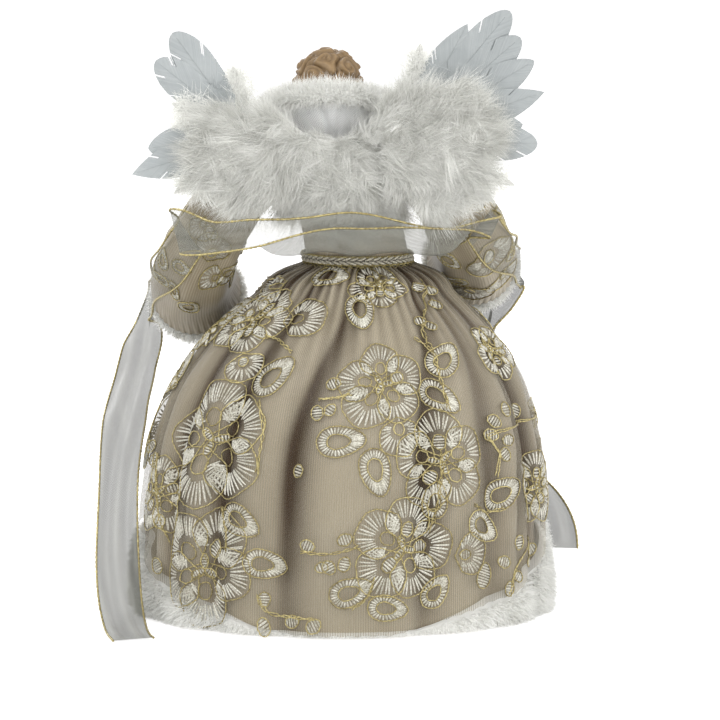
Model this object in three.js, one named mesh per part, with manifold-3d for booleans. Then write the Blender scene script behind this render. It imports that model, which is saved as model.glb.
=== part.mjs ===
// Decorative angel, about 330 mm tall: a gowned figure on a stiff bell, with feather wings.
// Millimetres. +Z is up, the figure faces -Y and +X is the figure's left. The origin is on
// the surface that the figure stands on, under the middle of the gown.
import * as THREE from "three";
import { mergeVertices } from "three/addons/utils/BufferGeometryUtils.js";
import Module from "manifold-3d";

const wasm = await Module();
wasm.setup();

// Clearances that all pieces share.
const SEAT_GAP = 0.3;
const RUNNING_GAP = 0.4;
const CUT_OVERRUN = 3;
const WELD_DISTANCE = 0.001;

// Skirt: a dome that is gathered at the waist. Angles are in degrees from +X towards +Y.
const WAIST_HEIGHT = 190;
const WAIST_RADIUS = 30.4;
const HEM_RADIUS = 114;
const DEPTH_SHARE = 0.86;
const DOME_POWER = 4;
const DOME_FULLNESS = 1.065;
const WAIST_LEAN = 9;
const TORSO_LEAN_SHARE = 0.175;
const FOLD_ANGLES = [8, 31, 56, 76, 112, 136, 158, 182, 206, 231, 256, 281, 304, 328, 348];
const FOLD_HALF_ANGLE = 7;
const FOLD_DEPTH = 7;
const FOLD_WAIST_SHARE = 0.12;
const FOLD_HEM_SHARE = 0.5;
const FOLD_DEEPEST_SHARE = 0.45;
const OVERLAY_THICKNESS = 0.8;
const OVERLAY_BACK_HEM = 1.5;
const OVERLAY_FRONT_HEM = 50;
const HEM_RISE_START_ANGLE = 18;
const HEM_RISE_END_ANGLE = 130;
const LINING_THICKNESS = 0.6;
const LINING_HEM = 1;
const LINING_WAIST_STANDOFF = 0.4;
const LINING_MID_STANDOFF = 2.2;
const LINING_HEM_STANDOFF = 6;
const overlayRowShares = [0, 0.22, 0.44, 0.62, 0.76, 0.87, 0.95, 1];
const liningRowShares = [0, 0.26, 0.5, 0.72, 0.9, 1];

// Plush band round the hem: it bulges out below the overlay and is tucked under it above.
const FUR_HEIGHT = 46;
const FUR_BULGE = 5.8;
const FUR_LIP = 3;
const FUR_LOWEST_ROLL = 3;
const FUR_WIDEST_ROLL = 37;
const FUR_TUCK_GAP = 1;
const FUR_BACK_GAP = 0.8;
const FUR_SHOULDER_SHARE = 0.6;
const FUR_FULL_BULGE_SHARE = 0.5;
const furRollShares = [
  { rise: 0, bulge: 0.72 },
  { rise: 0.32, bulge: 1 },
  { rise: 0.68, bulge: 0.86 },
  { rise: 1, bulge: 0 },
];

// Stiff bell inside the skirt, and the hoop that it stands on.
const FORMER_INSET = 13.5;
const HOOP_LEDGE = 1;
const HOOP_OUTER_RADIUS = HEM_RADIUS - FORMER_INSET + HOOP_LEDGE;
const HOOP_WIDTH = 5.5;
const HOOP_INNER_RADIUS = HOOP_OUTER_RADIUS - HOOP_WIDTH;
const HOOP_HEIGHT = 4;
const FORMER_WALL = 1.6;
const FORMER_TOP_DROP = 8;
const FORMER_TOP = WAIST_HEIGHT - FORMER_TOP_DROP;
const FORMER_COLUMNS = 30;
const FORMER_PANELS = 6;
const FORMER_SEAM_SHARE = 0.1;
const formerRowShares = [0, 0.3, 0.55, 0.75, 0.9, 1];

// Torso. The shares are of the height above the waist, the shoulders' half width and the
// chest's half depth.
const TORSO_HEIGHT = 66;
const TORSO_TOP = WAIST_HEIGHT + TORSO_HEIGHT;
const SHOULDER_HALF_WIDTH = 31;
const CHEST_HALF_DEPTH = 23.5;
const TORSO_COLUMNS = 20;
const torsoShares = [
  { rise: 0, width: 0.884, depth: 1 },
  { rise: 0.15, width: 0.86, depth: 0.93 },
  { rise: 0.38, width: 0.855, depth: 0.86 },
  { rise: 0.758, width: 1, depth: 0.85 },
  { rise: 0.88, width: 0.87, depth: 0.766 },
  { rise: 0.955, width: 0.62, depth: 0.6 },
  { rise: 1, width: 0.39, depth: 0.43 },
];
const BODICE_CLEARANCE = 0.4;
const BODICE_THICKNESS = 0.8;
const BODICE_HEM_LIFT = 0.8;
const BRAID_HEIGHT = 5.6;
const BRAID_THICKNESS = 2.5;
const BRAID_EDGE_SHARE = 0.7;
const BRAID_COLUMNS = 36;

// Collar ring: its middle line is an ellipse that is higher at the back.
const COLLAR_HALF_WIDTH = 34.5;
const COLLAR_HALF_DEPTH = 28;
const COLLAR_RISE = 15;
const COLLAR_HEIGHT = TORSO_TOP + COLLAR_RISE;
const COLLAR_TILT = 13;
const COLLAR_TUBE_WIDTH = 5.5;
const COLLAR_TUBE_HEIGHT = 6;
const COLLAR_COLUMNS = 32;
const COLLAR_SIDES = 8;
const YOKE_FOOT_DROP = 4;
const YOKE_FOOT_HEIGHT = TORSO_TOP - YOKE_FOOT_DROP;
const YOKE_THICKNESS = 0.8;

// Head, neck and hair. The face is a plain doll's face: nose, eye sockets, lips, chin and
// cheeks, in shares of the head's half width and half height.
const HEAD_RISE = 27;
const HEAD_HEIGHT = TORSO_TOP + HEAD_RISE;
const HEAD_FORWARD = 3;
const HEAD_HALF_WIDTH = 15;
const HEAD_HALF_DEPTH = 17.5;
const HEAD_HALF_HEIGHT = 21;
const HEAD_COLUMNS = 20;
const HEAD_ROWS = 14;
const NECK_RADIUS = 8;
const NECK_TOP_RADIUS = 7;
const PEG_RADIUS = 3;
const PEG_DEPTH = 11;
const PEG_RISE = 11;
const ROUND_SIDES = 12;
const NECK_SIDES = 16;
const JAW_TAPER_SHARE = 0.2;
const featureShares = [
  { relief: 0.13, aside: 0, width: 0.13, rise: -0.13, height: 0.17 },
  { relief: -0.05, aside: 0.34, width: 0.15, rise: 0.08, height: 0.12 },
  { relief: 0.045, aside: 0, width: 0.2, rise: -0.44, height: 0.08 },
  { relief: 0.07, aside: 0, width: 0.26, rise: -0.74, height: 0.15 },
  { relief: 0.025, aside: 0.42, width: 0.22, rise: -0.22, height: 0.22 },
];
const HAIR_HALF_WIDTH = 19;
const HAIR_HALF_DEPTH = 19.5;
const HAIR_HALF_HEIGHT = 20;
const HAIR_SETBACK = 3;
const HAIR_LIFT = 2;
const HAIRLINE_RISE = 10;
const HAIRLINE_DEPTH = 2;
const CURL_RADIUS = 4.8;
const curlShares = [
  { rise: 0.12, count: 6 },
  { rise: 0.55, count: 5 },
  { rise: 0.88, count: 2 },
];

// Wires: a straight one through the shoulders, and one with an eye in each arm.
const SHOULDER_DROP = 16;
const SHOULDER_HEIGHT = TORSO_TOP - SHOULDER_DROP;
const SHOULDER_WIRE_RADIUS = 1;
const BEAD_RADIUS = 2;
const BEAD_GAP = 0.9;
const ARM_WIRE_RADIUS = 0.9;
const EYE_RADIUS = 2.4;
const EYE_TUBE = 0.8;
const ARM_WIRE_SIDES = 6;
const ARM_WIRE_STEPS = 14;
const ARM_WIRE_LEAD = 5;
const ARM_CORE_OVERHANG = 5;
const PADDING_RADIUS = 7;
const PADDING_START_SHARE = 0.2;
const PADDING_END_SHARE = 0.985;
const PADDING_SIDES = 8;
const PADDING_POINTS = 9;

// Sleeves. Each arm goes out, forward and down from its shoulder; the shares are of those
// three lengths and of the radius at the cuff.
const SLEEVE_START = 34.6;
const LEFT_ARM_SPREAD = 46;
const LEFT_ARM_DROP = 73;
const RIGHT_ARM_SPREAD = 37;
const RIGHT_ARM_DROP = 56;
const ARM_REACH = 49;
const CUFF_MOUTH_RADIUS = 25;
const SLEEVE_WALL = 1;
const SLEEVE_END_PLATE = 1.2;
const SLEEVE_GATHERS = 6;
const SLEEVE_GATHER_DEPTH = 1.2;
const SLEEVE_COLUMNS = 18;
const armShares = [
  { spread: 0, reach: 0, drop: 0, girth: 0.52 },
  { spread: 0.18, reach: -0.01, drop: 0.03, girth: 0.62 },
  { spread: 0.46, reach: -0.06, drop: 0.17, girth: 0.7 },
  { spread: 0.72, reach: -0.1, drop: 0.38, girth: 0.77 },
  { spread: 0.91, reach: -0.04, drop: 0.59, girth: 0.82 },
  { spread: 1, reach: 0.25, drop: 0.75, girth: 0.87 },
  { spread: 1.03, reach: 0.61, drop: 0.87, girth: 0.93 },
  { spread: 1, reach: 1, drop: 1, girth: 1 },
];
const CUFF_RING_RADIUS = 20;
const CUFF_TUBE = 7;
const CUFF_SIDES = 8;
const CUFF_COLUMNS = 18;

// Hands.
const WRIST_RADIUS = 4;
const WRIST_LENGTH = 7;
const PALM_HALF_WIDTH = 6;
const PALM_HALF_LENGTH = 8;
const PALM_HALF_THICKNESS = 3;
const FINGER_RADIUS = 1.4;
const FINGER_LENGTH = 8;
const FINGER_PITCH = 2.7;
const FINGER_COUNT = 4;
const FINGER_CURL_ANGLE = 16;
const THUMB_SPLAY_ANGLE = 42;

// Wings. A plate on the back carries a card for each wing, and the feathers lie on the card
// in layers, the top one innermost. Angles are in degrees above the outward horizontal.
const TAB_HALF_WIDTH = 34;
const TAB_HEIGHT = 30;
const TAB_LIFT = 2;
const TAB_MIDDLE_HEIGHT = SHOULDER_HEIGHT + TAB_LIFT;
const TAB_THICKNESS = 1.5;
const CARD_THICKNESS = 1.2;
const CARD_RADIUS = 12;
const CARD_ARC_STEPS = 8;
const LEFT_ROOT_OFFSET = 28.3;
const RIGHT_ROOT_OFFSET = 26.2;
const LEFT_FAN_OFFSET = 50;
const LEFT_FAN_RISE = 19;
const LEFT_FAN_HEIGHT = TAB_MIDDLE_HEIGHT + LEFT_FAN_RISE;
const RIGHT_FAN_OFFSET = 34;
const RIGHT_FAN_RISE = 17.6;
const RIGHT_FAN_HEIGHT = TAB_MIDDLE_HEIGHT + RIGHT_FAN_RISE;
const WING_SPAN = 80;
const WING_SWEEP = 12;
const FEATHER_START = 2;
const FEATHER_WIDTH = 18;
const SHAFT_THICKNESS = 1;
const VANE_THICKNESS = 0.4;
const vaneShares = [
  { along: 0, width: 0.06 },
  { along: 0.14, width: 0.08 },
  { along: 0.3, width: 0.55 },
  { along: 0.46, width: 0.86 },
  { along: 0.64, width: 1 },
  { along: 0.8, width: 0.92 },
  { along: 0.92, width: 0.62 },
  { along: 1, width: 0.14 },
];
const leftFeatherShares = [
  { angle: 77.5, length: 0.48 },
  { angle: 54.5, length: 0.86 },
  { angle: 40, length: 0.8 },
  { angle: 24, length: 0.56 },
  { angle: 7, length: 0.52 },
  { angle: -6, length: 0.67 },
  { angle: -17.3, length: 0.81 },
  { angle: -37, length: 0.62 },
];
const rightFeatherShares = [
  { angle: 81, length: 0.65 },
  { angle: 62, length: 0.88 },
  { angle: 51.4, length: 1.11 },
  { angle: 42.2, length: 1.03 },
  { angle: 32.2, length: 1.01 },
  { angle: 19.7, length: 0.98 },
  { angle: 8, length: 0.79 },
  { angle: -1, length: 0.88 },
  { angle: -22, length: 0.79 },
  { angle: -34.5, length: 0.72 },
];

// Down clusters over the roots of the feathers.
const LEFT_DOWN_OFFSET = 7;
const LEFT_DOWN_RISE = -2;
const LEFT_DOWN_HALF_WIDTH = 27;
const LEFT_DOWN_HALF_HEIGHT = 32;
const RIGHT_DOWN_OFFSET = 22;
const RIGHT_DOWN_RISE = 2;
const RIGHT_DOWN_HALF_WIDTH = 26;
const RIGHT_DOWN_HALF_HEIGHT = 38;
const SIDE_DOWN_THICKNESS = 12;
const CENTRE_DOWN_DROP = 10;
const CENTRE_DOWN_HEIGHT = TAB_MIDDLE_HEIGHT - CENTRE_DOWN_DROP;
const CENTRE_DOWN_HALF_WIDTH = 24;
const CENTRE_DOWN_HALF_HEIGHT = 29;
const CENTRE_DOWN_THICKNESS = 15;
const DOWN_LOBES = 6;
const DOWN_LOBE_SHARE = 0.07;
const DOWN_COLUMNS = 24;
const downRowShares = [
  { out: 0.55, crown: 0 },
  { out: 0.92, crown: 0 },
  { out: 1, crown: 0.3 },
  { out: 0.84, crown: 0.72 },
  { out: 0.45, crown: 1 },
];

// Ribbon: across the back, over both sleeves, and down to two tails. The points of its
// stretches are shares of the hem's radius (across and behind) and of the waist's height.
const RIBBON_WIDTH = 22;
const RIBBON_THICKNESS = 0.8;
const RIBBON_LIFT = 1.2;
const RIBBON_BACK_STEPS = 22;
const RIBBON_TAIL_STEPS = 16;
const RIBBON_TURN_SHARE = 0.3;
const LEFT_TAIL_TURN_START_SHARE = 0;
const RIGHT_TAIL_TURN_START_SHARE = 0.55;
const RIBBON_LEAD = 6;
const loopShares = [
  { station: 3.7, turn: 58 },
  { station: 4.2, turn: 40 },
  { station: 4.8, turn: 22 },
  { station: 5.6, turn: 9 },
  { station: 6.4, turn: 2 },
  { station: 7, turn: 0 },
];
const ribbonBackShares = [
  { across: 0.8, behind: 0.31, rise: 1.1 },
  { across: 0.66, behind: 0.35, rise: 1.095 },
  { across: 0.4, behind: 0.378, rise: 1.092 },
  { across: 0.12, behind: 0.385, rise: 1.092 },
  { across: -0.16, behind: 0.385, rise: 1.092 },
  { across: -0.42, behind: 0.375, rise: 1.095 },
  { across: -0.62, behind: 0.33, rise: 1.1 },
  { across: -0.74, behind: 0.27, rise: 1.105 },
];
const leftTailShares = [
  { across: 0.96, behind: -0.63, rise: 0.785 },
  { across: 0.98, behind: -0.6, rise: 0.71 },
  { across: 1.01, behind: -0.45, rise: 0.64 },
  { across: 1.04, behind: -0.2, rise: 0.575 },
  { across: 1.053, behind: 0.018, rise: 0.49 },
  { across: 1.061, behind: 0.219, rise: 0.368 },
  { across: 1.061, behind: 0.368, rise: 0.21 },
  { across: 1.044, behind: 0.526, rise: 0.084 },
  { across: 1.009, behind: 0.7, rise: 0.016 },
  { across: 0.965, behind: 0.86, rise: 0.0045 },
];
const rightTailShares = [
  { across: -0.737, behind: -0.632, rise: 0.8 },
  { across: -0.693, behind: -0.719, rise: 0.674 },
  { across: -0.702, behind: -0.737, rise: 0.537 },
  { across: -0.772, behind: -0.702, rise: 0.41 },
  { across: -0.895, behind: -0.596, rise: 0.305 },
  { across: -1, behind: -0.5, rise: 0.232 },
  { across: -1.053, behind: -0.439, rise: 0.168 },
  { across: -1.053, behind: -0.386, rise: 0.126 },
];

const FULL_TURN = 2 * Math.PI;
const UP = new THREE.Vector3(0, 0, 1);
const mix = THREE.MathUtils.lerp;
const clamp = THREE.MathUtils.clamp;
const smooth = (value) => THREE.MathUtils.smoothstep(value, 0, 1);
const radians = THREE.MathUtils.degToRad;
const vec = (x, y, z) => new THREE.Vector3(x, y, z);

// A mesh with a name and a finish of its own.
function piece(name, geometry, color, roughness, metalness = 0) {
  const material = new THREE.MeshStandardMaterial({ color, roughness, metalness });
  const mesh = new THREE.Mesh(geometry, material);
  mesh.name = name;
  return mesh;
}

// A list of the given length, made by calling make with each index.
function times(count, make) {
  return Array.from({ length: count }, (_, index) => make(index));
}

// A closed body from points and triangles, turned so that its faces point out.
function closedGeometry(points, faces) {
  const volume = faces.reduce((sum, [a, b, c]) => {
    const cross = new THREE.Vector3().crossVectors(points[b], points[c]);
    return sum + points[a].dot(cross);
  }, 0);
  const outward = volume < 0 ? faces.map(([a, b, c]) => [a, c, b]) : faces;
  const geometry = new THREE.BufferGeometry().setFromPoints(points);
  geometry.setIndex(outward.flat());
  geometry.computeVertexNormals();
  return geometry;
}

// The triangles between two closed rings of points. From turnedFrom on, each quad is split
// along its other diagonal, so that both faces of a thin wall are split alike.
function band(first, second, count, turnedFrom = count) {
  return times(count, (k) => {
    const next = (k + 1) % count;
    const [a, b, c, d] = [first + k, first + next, second + next, second + k];
    return k < turnedFrom ? [[a, b, c], [a, c, d]] : [[b, c, d], [b, d, a]];
  }).flat();
}

// A body through a row of closed rings, with a fan at each end.
function loft(rings, turnedFrom) {
  const sides = rings[0].length;
  const last = (rings.length - 1) * sides;
  const points = rings.flat();
  const faces = times(rings.length - 1, (row) =>
    band(row * sides, (row + 1) * sides, sides, turnedFrom),
  ).flat();
  const startCentre = points.length;
  const endCentre = startCentre + 1;
  [rings[0], rings[rings.length - 1]].forEach((ring) => {
    const sum = ring.reduce((total, point) => total.add(point), vec(0, 0, 0));
    points.push(sum.divideScalar(sides));
  });
  times(sides, (k) => {
    const next = (k + 1) % sides;
    faces.push([next, k, startCentre], [last + k, last + next, endCentre]);
  });
  return closedGeometry(points, faces);
}

// A ring-shaped body through sections that follow one another round a closed loop.
function ringLoft(sections, turnedFrom) {
  const size = sections[0].length;
  const faces = sections.flatMap((_, index) => {
    const next = (index + 1) % sections.length;
    return band(index * size, next * size, size, turnedFrom);
  });
  return closedGeometry(sections.flat(), faces);
}

// A ring-shaped thin wall, whose sections run up its outer face and down its inner one.
function wallLoft(sections) {
  return ringLoft(sections, sections[0].length / 2);
}

// The geometry as a solid that can be cut and joined.
function solid(geometry) {
  const bare = new THREE.BufferGeometry();
  bare.setAttribute("position", geometry.getAttribute("position"));
  bare.setIndex(geometry.getIndex());
  const merged = mergeVertices(bare, WELD_DISTANCE);
  const vertProperties = merged.getAttribute("position").array;
  const triVerts = new Uint32Array(merged.getIndex().array);
  return new wasm.Manifold(new wasm.Mesh({ numProp: 3, vertProperties, triVerts }));
}

// The geometry of a solid.
function geometryOf(made) {
  const mesh = made.getMesh();
  const geometry = new THREE.BufferGeometry();
  geometry.setAttribute("position", new THREE.BufferAttribute(mesh.vertProperties, 3));
  geometry.setIndex(new THREE.BufferAttribute(mesh.triVerts, 1));
  geometry.computeVertexNormals();
  return geometry;
}

// A cylinder along +Z between two heights.
function uprightCylinder(bottomRadius, topRadius, bottom, top, sides) {
  const geometry = new THREE.CylinderGeometry(topRadius, bottomRadius, top - bottom, sides);
  geometry.rotateX(Math.PI / 2);
  geometry.translate(0, 0, (top + bottom) / 2);
  return geometry;
}

// How far the figure's middle line stands to one side at a height.
function leanAt(z) {
  if (z < WAIST_HEIGHT) return -WAIST_LEAN * (z / WAIST_HEIGHT) ** 2;
  return -WAIST_LEAN + (z - WAIST_HEIGHT) * TORSO_LEAN_SHARE;
}

// The geometry with each point moved sideways by the lean at its height.
function leaned(geometry) {
  const position = geometry.getAttribute("position");
  times(position.count, (index) => {
    position.setX(index, position.getX(index) + leanAt(position.getZ(index)));
  });
  geometry.computeVertexNormals();
  return geometry;
}

// Skirt surface.
function domeRadius(z) {
  const rise = clamp(z / WAIST_HEIGHT, 0, 1);
  const share = (1 - rise ** DOME_POWER) ** DOME_FULLNESS;
  return mix(WAIST_RADIUS, HEM_RADIUS, share);
}

function foldDepth(angle, z) {
  const rise = z / WAIST_HEIGHT;
  const low = mix(FOLD_HEM_SHARE, 1, smooth(rise / FOLD_DEEPEST_SHARE));
  const highRise = (rise - FOLD_DEEPEST_SHARE) / (1 - FOLD_DEEPEST_SHARE);
  const high = mix(1, FOLD_WAIST_SHARE, smooth(highRise));
  const strength = rise < FOLD_DEEPEST_SHARE ? low : high;
  const depth = FOLD_ANGLES.reduce((sum, valley) => {
    const away = angleBetween(THREE.MathUtils.radToDeg(angle), valley);
    return sum + Math.exp(-((away / FOLD_HALF_ANGLE) ** 2));
  }, 0);
  return FOLD_DEPTH * strength * depth;
}

function angleBetween(first, second) {
  const turn = THREE.MathUtils.euclideanModulo(first - second, 360);
  return Math.min(turn, 360 - turn);
}

function skirtPoint(angle, z, offset) {
  const radius = domeRadius(z) - foldDepth(angle, z) + offset;
  return vec(
    leanAt(z) + radius * Math.cos(angle),
    DEPTH_SHARE * radius * Math.sin(angle),
    z,
  );
}

// The angles that the skirt's pieces share: each fold's valley, its flanks and its ridge.
function foldColumns() {
  return FOLD_ANGLES.flatMap((valley, index) => {
    const next = FOLD_ANGLES[(index + 1) % FOLD_ANGLES.length];
    const ridge = valley + THREE.MathUtils.euclideanModulo(next - valley, 360) / 2;
    return [valley - FOLD_HALF_ANGLE, valley, valley + FOLD_HALF_ANGLE, ridge].map(radians);
  });
}

function overlayHem(angle) {
  const fromBack = angleBetween(THREE.MathUtils.radToDeg(angle), 90);
  const range = HEM_RISE_END_ANGLE - HEM_RISE_START_ANGLE;
  const share = clamp((fromBack - HEM_RISE_START_ANGLE) / range, 0, 1);
  return mix(OVERLAY_BACK_HEM, OVERLAY_FRONT_HEM, share);
}

// How far the lining hangs inside the overlay at a height.
function liningStandoff(z) {
  const rise = z / WAIST_HEIGHT;
  const hemEnd = FUR_HEIGHT / WAIST_HEIGHT;
  const upper = (rise - 2 * hemEnd) / (1 - 2 * hemEnd);
  if (rise > 2 * hemEnd) return mix(LINING_MID_STANDOFF, LINING_WAIST_STANDOFF, upper);
  const lower = clamp((rise - hemEnd) / hemEnd, 0, 1);
  return mix(LINING_HEM_STANDOFF, LINING_MID_STANDOFF, lower);
}

function liningOffset(z) {
  return -OVERLAY_THICKNESS - liningStandoff(z);
}

// A sheet of the skirt: its outer face at the offset, and its thickness inwards.
function skirtSheet(bottomAt, rowShares, offsetAt, thickness) {
  return wallLoft(
    foldColumns().map((angle) => {
      const bottom = bottomAt(angle);
      const heights = rowShares.map((share) => mix(bottom, WAIST_HEIGHT, share));
      const outer = heights.map((z) => skirtPoint(angle, z, offsetAt(z)));
      const inner = heights.map((z) => skirtPoint(angle, z, offsetAt(z) - thickness));
      return [...outer, ...inner.reverse()];
    }),
  );
}

function hemFur() {
  const tuckedOuter = -OVERLAY_THICKNESS - FUR_TUCK_GAP;
  return ringLoft(
    foldColumns().map((angle) => {
      const roll = clamp(overlayHem(angle) - FUR_LIP, FUR_LOWEST_ROLL, FUR_WIDEST_ROLL);
      const widened = (roll - FUR_LOWEST_ROLL) / (FUR_WIDEST_ROLL - FUR_LOWEST_ROLL);
      const strength = smooth(widened / FUR_FULL_BULGE_SHARE);
      const rolled = furRollShares.map(({ rise, bulge }) =>
        skirtPoint(angle, roll * rise, tuckedOuter + FUR_BULGE * bulge * strength),
      );
      const inside = (z) => skirtPoint(angle, z, liningOffset(z) + FUR_BACK_GAP);
      const shoulder = skirtPoint(angle, mix(roll, FUR_HEIGHT, FUR_SHOULDER_SHARE), tuckedOuter);
      const top = skirtPoint(angle, FUR_HEIGHT, tuckedOuter - FUR_TUCK_GAP);
      return [...rolled, shoulder, top, inside(FUR_HEIGHT), inside(0)];
    }),
  );
}

// A horizontal ring of points round the figure's middle line.
function ellipseRing(halfWidth, halfDepth, z, columns) {
  return times(columns, (k) => {
    const angle = (FULL_TURN * k) / columns;
    return vec(leanAt(z) + halfWidth * Math.cos(angle), halfDepth * Math.sin(angle), z);
  });
}

function hemHoop() {
  const profile = [
    [HOOP_INNER_RADIUS, 0],
    [HOOP_OUTER_RADIUS, 0],
    [HOOP_OUTER_RADIUS, HOOP_HEIGHT],
    [HOOP_INNER_RADIUS, HOOP_HEIGHT],
    [HOOP_INNER_RADIUS, 0],
  ].map(([radius, height]) => new THREE.Vector2(radius, height));
  const geometry = new THREE.LatheGeometry(profile, FORMER_COLUMNS);
  geometry.rotateX(Math.PI / 2);
  geometry.scale(1, DEPTH_SHARE, 1);
  return geometryOf(solid(geometry));
}

// The bell: closed at the top, where the torso stands, and open below.
function skirtFormer() {
  const bottom = HOOP_HEIGHT + SEAT_GAP;
  const rings = (topHeight, inset) =>
    formerRowShares.map((share) => {
      const z = mix(bottom, topHeight, share);
      const radius = domeRadius(z) - inset;
      return ellipseRing(radius, DEPTH_SHARE * radius, z, FORMER_COLUMNS);
    });
  const outer = rings(FORMER_TOP, FORMER_INSET);
  const inner = rings(FORMER_TOP - FORMER_WALL, FORMER_INSET + FORMER_WALL);
  return solid(loft([...inner.reverse(), ...outer]));
}

// The bell's panels: its seams run down from the middle of its top.
function formerPanels() {
  const bell = skirtFormer();
  const pitch = FULL_TURN / FORMER_PANELS;
  const apex = SEAT_GAP / 2 / Math.sin(pitch / 2);
  const reach = 2 * HEM_RADIUS;
  return times(FORMER_PANELS, (index) => {
    const start = pitch * (index + FORMER_SEAM_SHARE);
    const middle = start + pitch / 2;
    const [x, y] = [apex * Math.cos(middle), apex * Math.sin(middle)];
    const corner = (angle) =>
      new THREE.Vector2(x + reach * Math.cos(angle), y + reach * Math.sin(angle));
    const shape = new THREE.Shape([new THREE.Vector2(x, y), corner(start), corner(start + pitch)]);
    const wedge = new THREE.ExtrudeGeometry(shape, { depth: WAIST_HEIGHT, bevelEnabled: false });
    wedge.translate(leanAt(FORMER_TOP), 0, 0);
    return geometryOf(bell.intersect(solid(wedge)));
  });
}

// Torso and bodice.
function torsoHeight(rise) {
  return mix(WAIST_HEIGHT, TORSO_TOP, rise);
}

function torsoRing({ rise, width, depth }, offset, lift) {
  return ellipseRing(
    width * SHOULDER_HALF_WIDTH + offset,
    depth * CHEST_HALF_DEPTH + offset,
    torsoHeight(rise) + lift,
    TORSO_COLUMNS,
  );
}

function shoulderBore() {
  const radius = SHOULDER_WIRE_RADIUS + SEAT_GAP;
  const length = 2 * SHOULDER_HALF_WIDTH + 2 * CUT_OVERRUN + 2 * WAIST_LEAN;
  const geometry = new THREE.CylinderGeometry(radius, radius, length, ROUND_SIDES);
  geometry.rotateZ(Math.PI / 2);
  geometry.translate(0, 0, SHOULDER_HEIGHT);
  return solid(geometry);
}

function pegSolid(gap) {
  const bottom = TORSO_TOP - PEG_DEPTH - gap;
  const top = TORSO_TOP + PEG_RISE + gap;
  const radius = PEG_RADIUS + gap;
  return solid(leaned(uprightCylinder(radius, radius, bottom, top, ROUND_SIDES)));
}

function torsoForm() {
  const foot = { ...torsoShares[0], rise: 0 };
  const footLift = FORMER_TOP + SEAT_GAP - WAIST_HEIGHT;
  const rings = [torsoRing(foot, 0, footLift), ...torsoShares.map((share) => torsoRing(share, 0, 0))];
  return geometryOf(solid(loft(rings)).subtract(shoulderBore()).subtract(pegSolid(SEAT_GAP)));
}

function bodice() {
  const liftAt = (rise) => mix(BODICE_HEM_LIFT, SEAT_GAP, rise);
  const inner = torsoShares.map((share) => torsoRing(share, BODICE_CLEARANCE, liftAt(share.rise)));
  const outset = BODICE_CLEARANCE + BODICE_THICKNESS;
  const outer = torsoShares.map((share) => torsoRing(share, outset, liftAt(share.rise)));
  const sections = times(TORSO_COLUMNS, (k) => [
    ...outer.map((ring) => ring[k]),
    ...inner.map((ring) => ring[k]).reverse(),
  ]);
  return geometryOf(solid(wallLoft(sections)).subtract(shoulderBore()));
}

function waistBraid() {
  const waist = torsoShares[0];
  const outset = BODICE_CLEARANCE + BODICE_THICKNESS + SEAT_GAP;
  const width = waist.width * SHOULDER_HALF_WIDTH + outset;
  const depth = waist.depth * CHEST_HALF_DEPTH + outset;
  const bottom = WAIST_HEIGHT + RUNNING_GAP;
  const ring = (out, z) => ellipseRing(width + out, depth + out, z, BRAID_COLUMNS);
  const rings = [
    ring(0, bottom),
    ring(BRAID_THICKNESS * BRAID_EDGE_SHARE, bottom),
    ring(BRAID_THICKNESS, bottom + BRAID_HEIGHT / 2),
    ring(BRAID_THICKNESS * BRAID_EDGE_SHARE, bottom + BRAID_HEIGHT),
    ring(0, bottom + BRAID_HEIGHT),
  ];
  return ringLoft(times(BRAID_COLUMNS, (k) => rings.map((points) => points[k])));
}

// Collar and the yoke that carries it.
function collarCentre(angle) {
  const z = COLLAR_HEIGHT + COLLAR_TILT * Math.sin(angle);
  return vec(
    leanAt(z) + COLLAR_HALF_WIDTH * Math.cos(angle),
    COLLAR_HALF_DEPTH * Math.sin(angle),
    z,
  );
}

function collar(gap) {
  return ringLoft(
    times(COLLAR_COLUMNS, (k) => {
      const angle = (FULL_TURN * k) / COLLAR_COLUMNS;
      const outward = vec(Math.cos(angle), Math.sin(angle), 0);
      return times(COLLAR_SIDES, (side) => {
        const turn = (FULL_TURN * side) / COLLAR_SIDES;
        return collarCentre(angle)
          .addScaledVector(outward, (COLLAR_TUBE_WIDTH + gap) * Math.cos(turn))
          .addScaledVector(UP, (COLLAR_TUBE_HEIGHT + gap) * Math.sin(turn));
      });
    }),
  );
}

function torsoRadii(z) {
  const rise = clamp((z - WAIST_HEIGHT) / (TORSO_TOP - WAIST_HEIGHT), 0, 1);
  const above = Math.max(1, torsoShares.findIndex((share) => share.rise >= rise));
  const low = torsoShares[above - 1];
  const high = torsoShares[above];
  const share = (rise - low.rise) / (high.rise - low.rise);
  return {
    width: mix(low.width, high.width, share) * SHOULDER_HALF_WIDTH,
    depth: mix(low.depth, high.depth, share) * CHEST_HALF_DEPTH,
  };
}

function yoke() {
  const { width, depth } = torsoRadii(YOKE_FOOT_HEIGHT);
  const outset = BODICE_CLEARANCE + BODICE_THICKNESS + 2 * YOKE_THICKNESS + SEAT_GAP;
  return wallLoft(
    times(COLLAR_COLUMNS, (k) => {
      const angle = (FULL_TURN * k) / COLLAR_COLUMNS;
      const outward = vec(Math.cos(angle), Math.sin(angle), 0);
      const foot = vec(
        leanAt(YOKE_FOOT_HEIGHT) + (width + outset) * Math.cos(angle),
        (depth + outset) * Math.sin(angle),
        YOKE_FOOT_HEIGHT,
      );
      const head = collarCentre(angle).addScaledVector(UP, -COLLAR_TUBE_HEIGHT - SEAT_GAP);
      const middle = foot.clone().lerp(head, 0.5);
      const upper = [foot, middle, head];
      const lower = upper.map((point) =>
        point
          .clone()
          .addScaledVector(outward, YOKE_THICKNESS)
          .addScaledVector(UP, -YOKE_THICKNESS),
      );
      return [...upper, ...lower.reverse()];
    }),
  );
}

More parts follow.
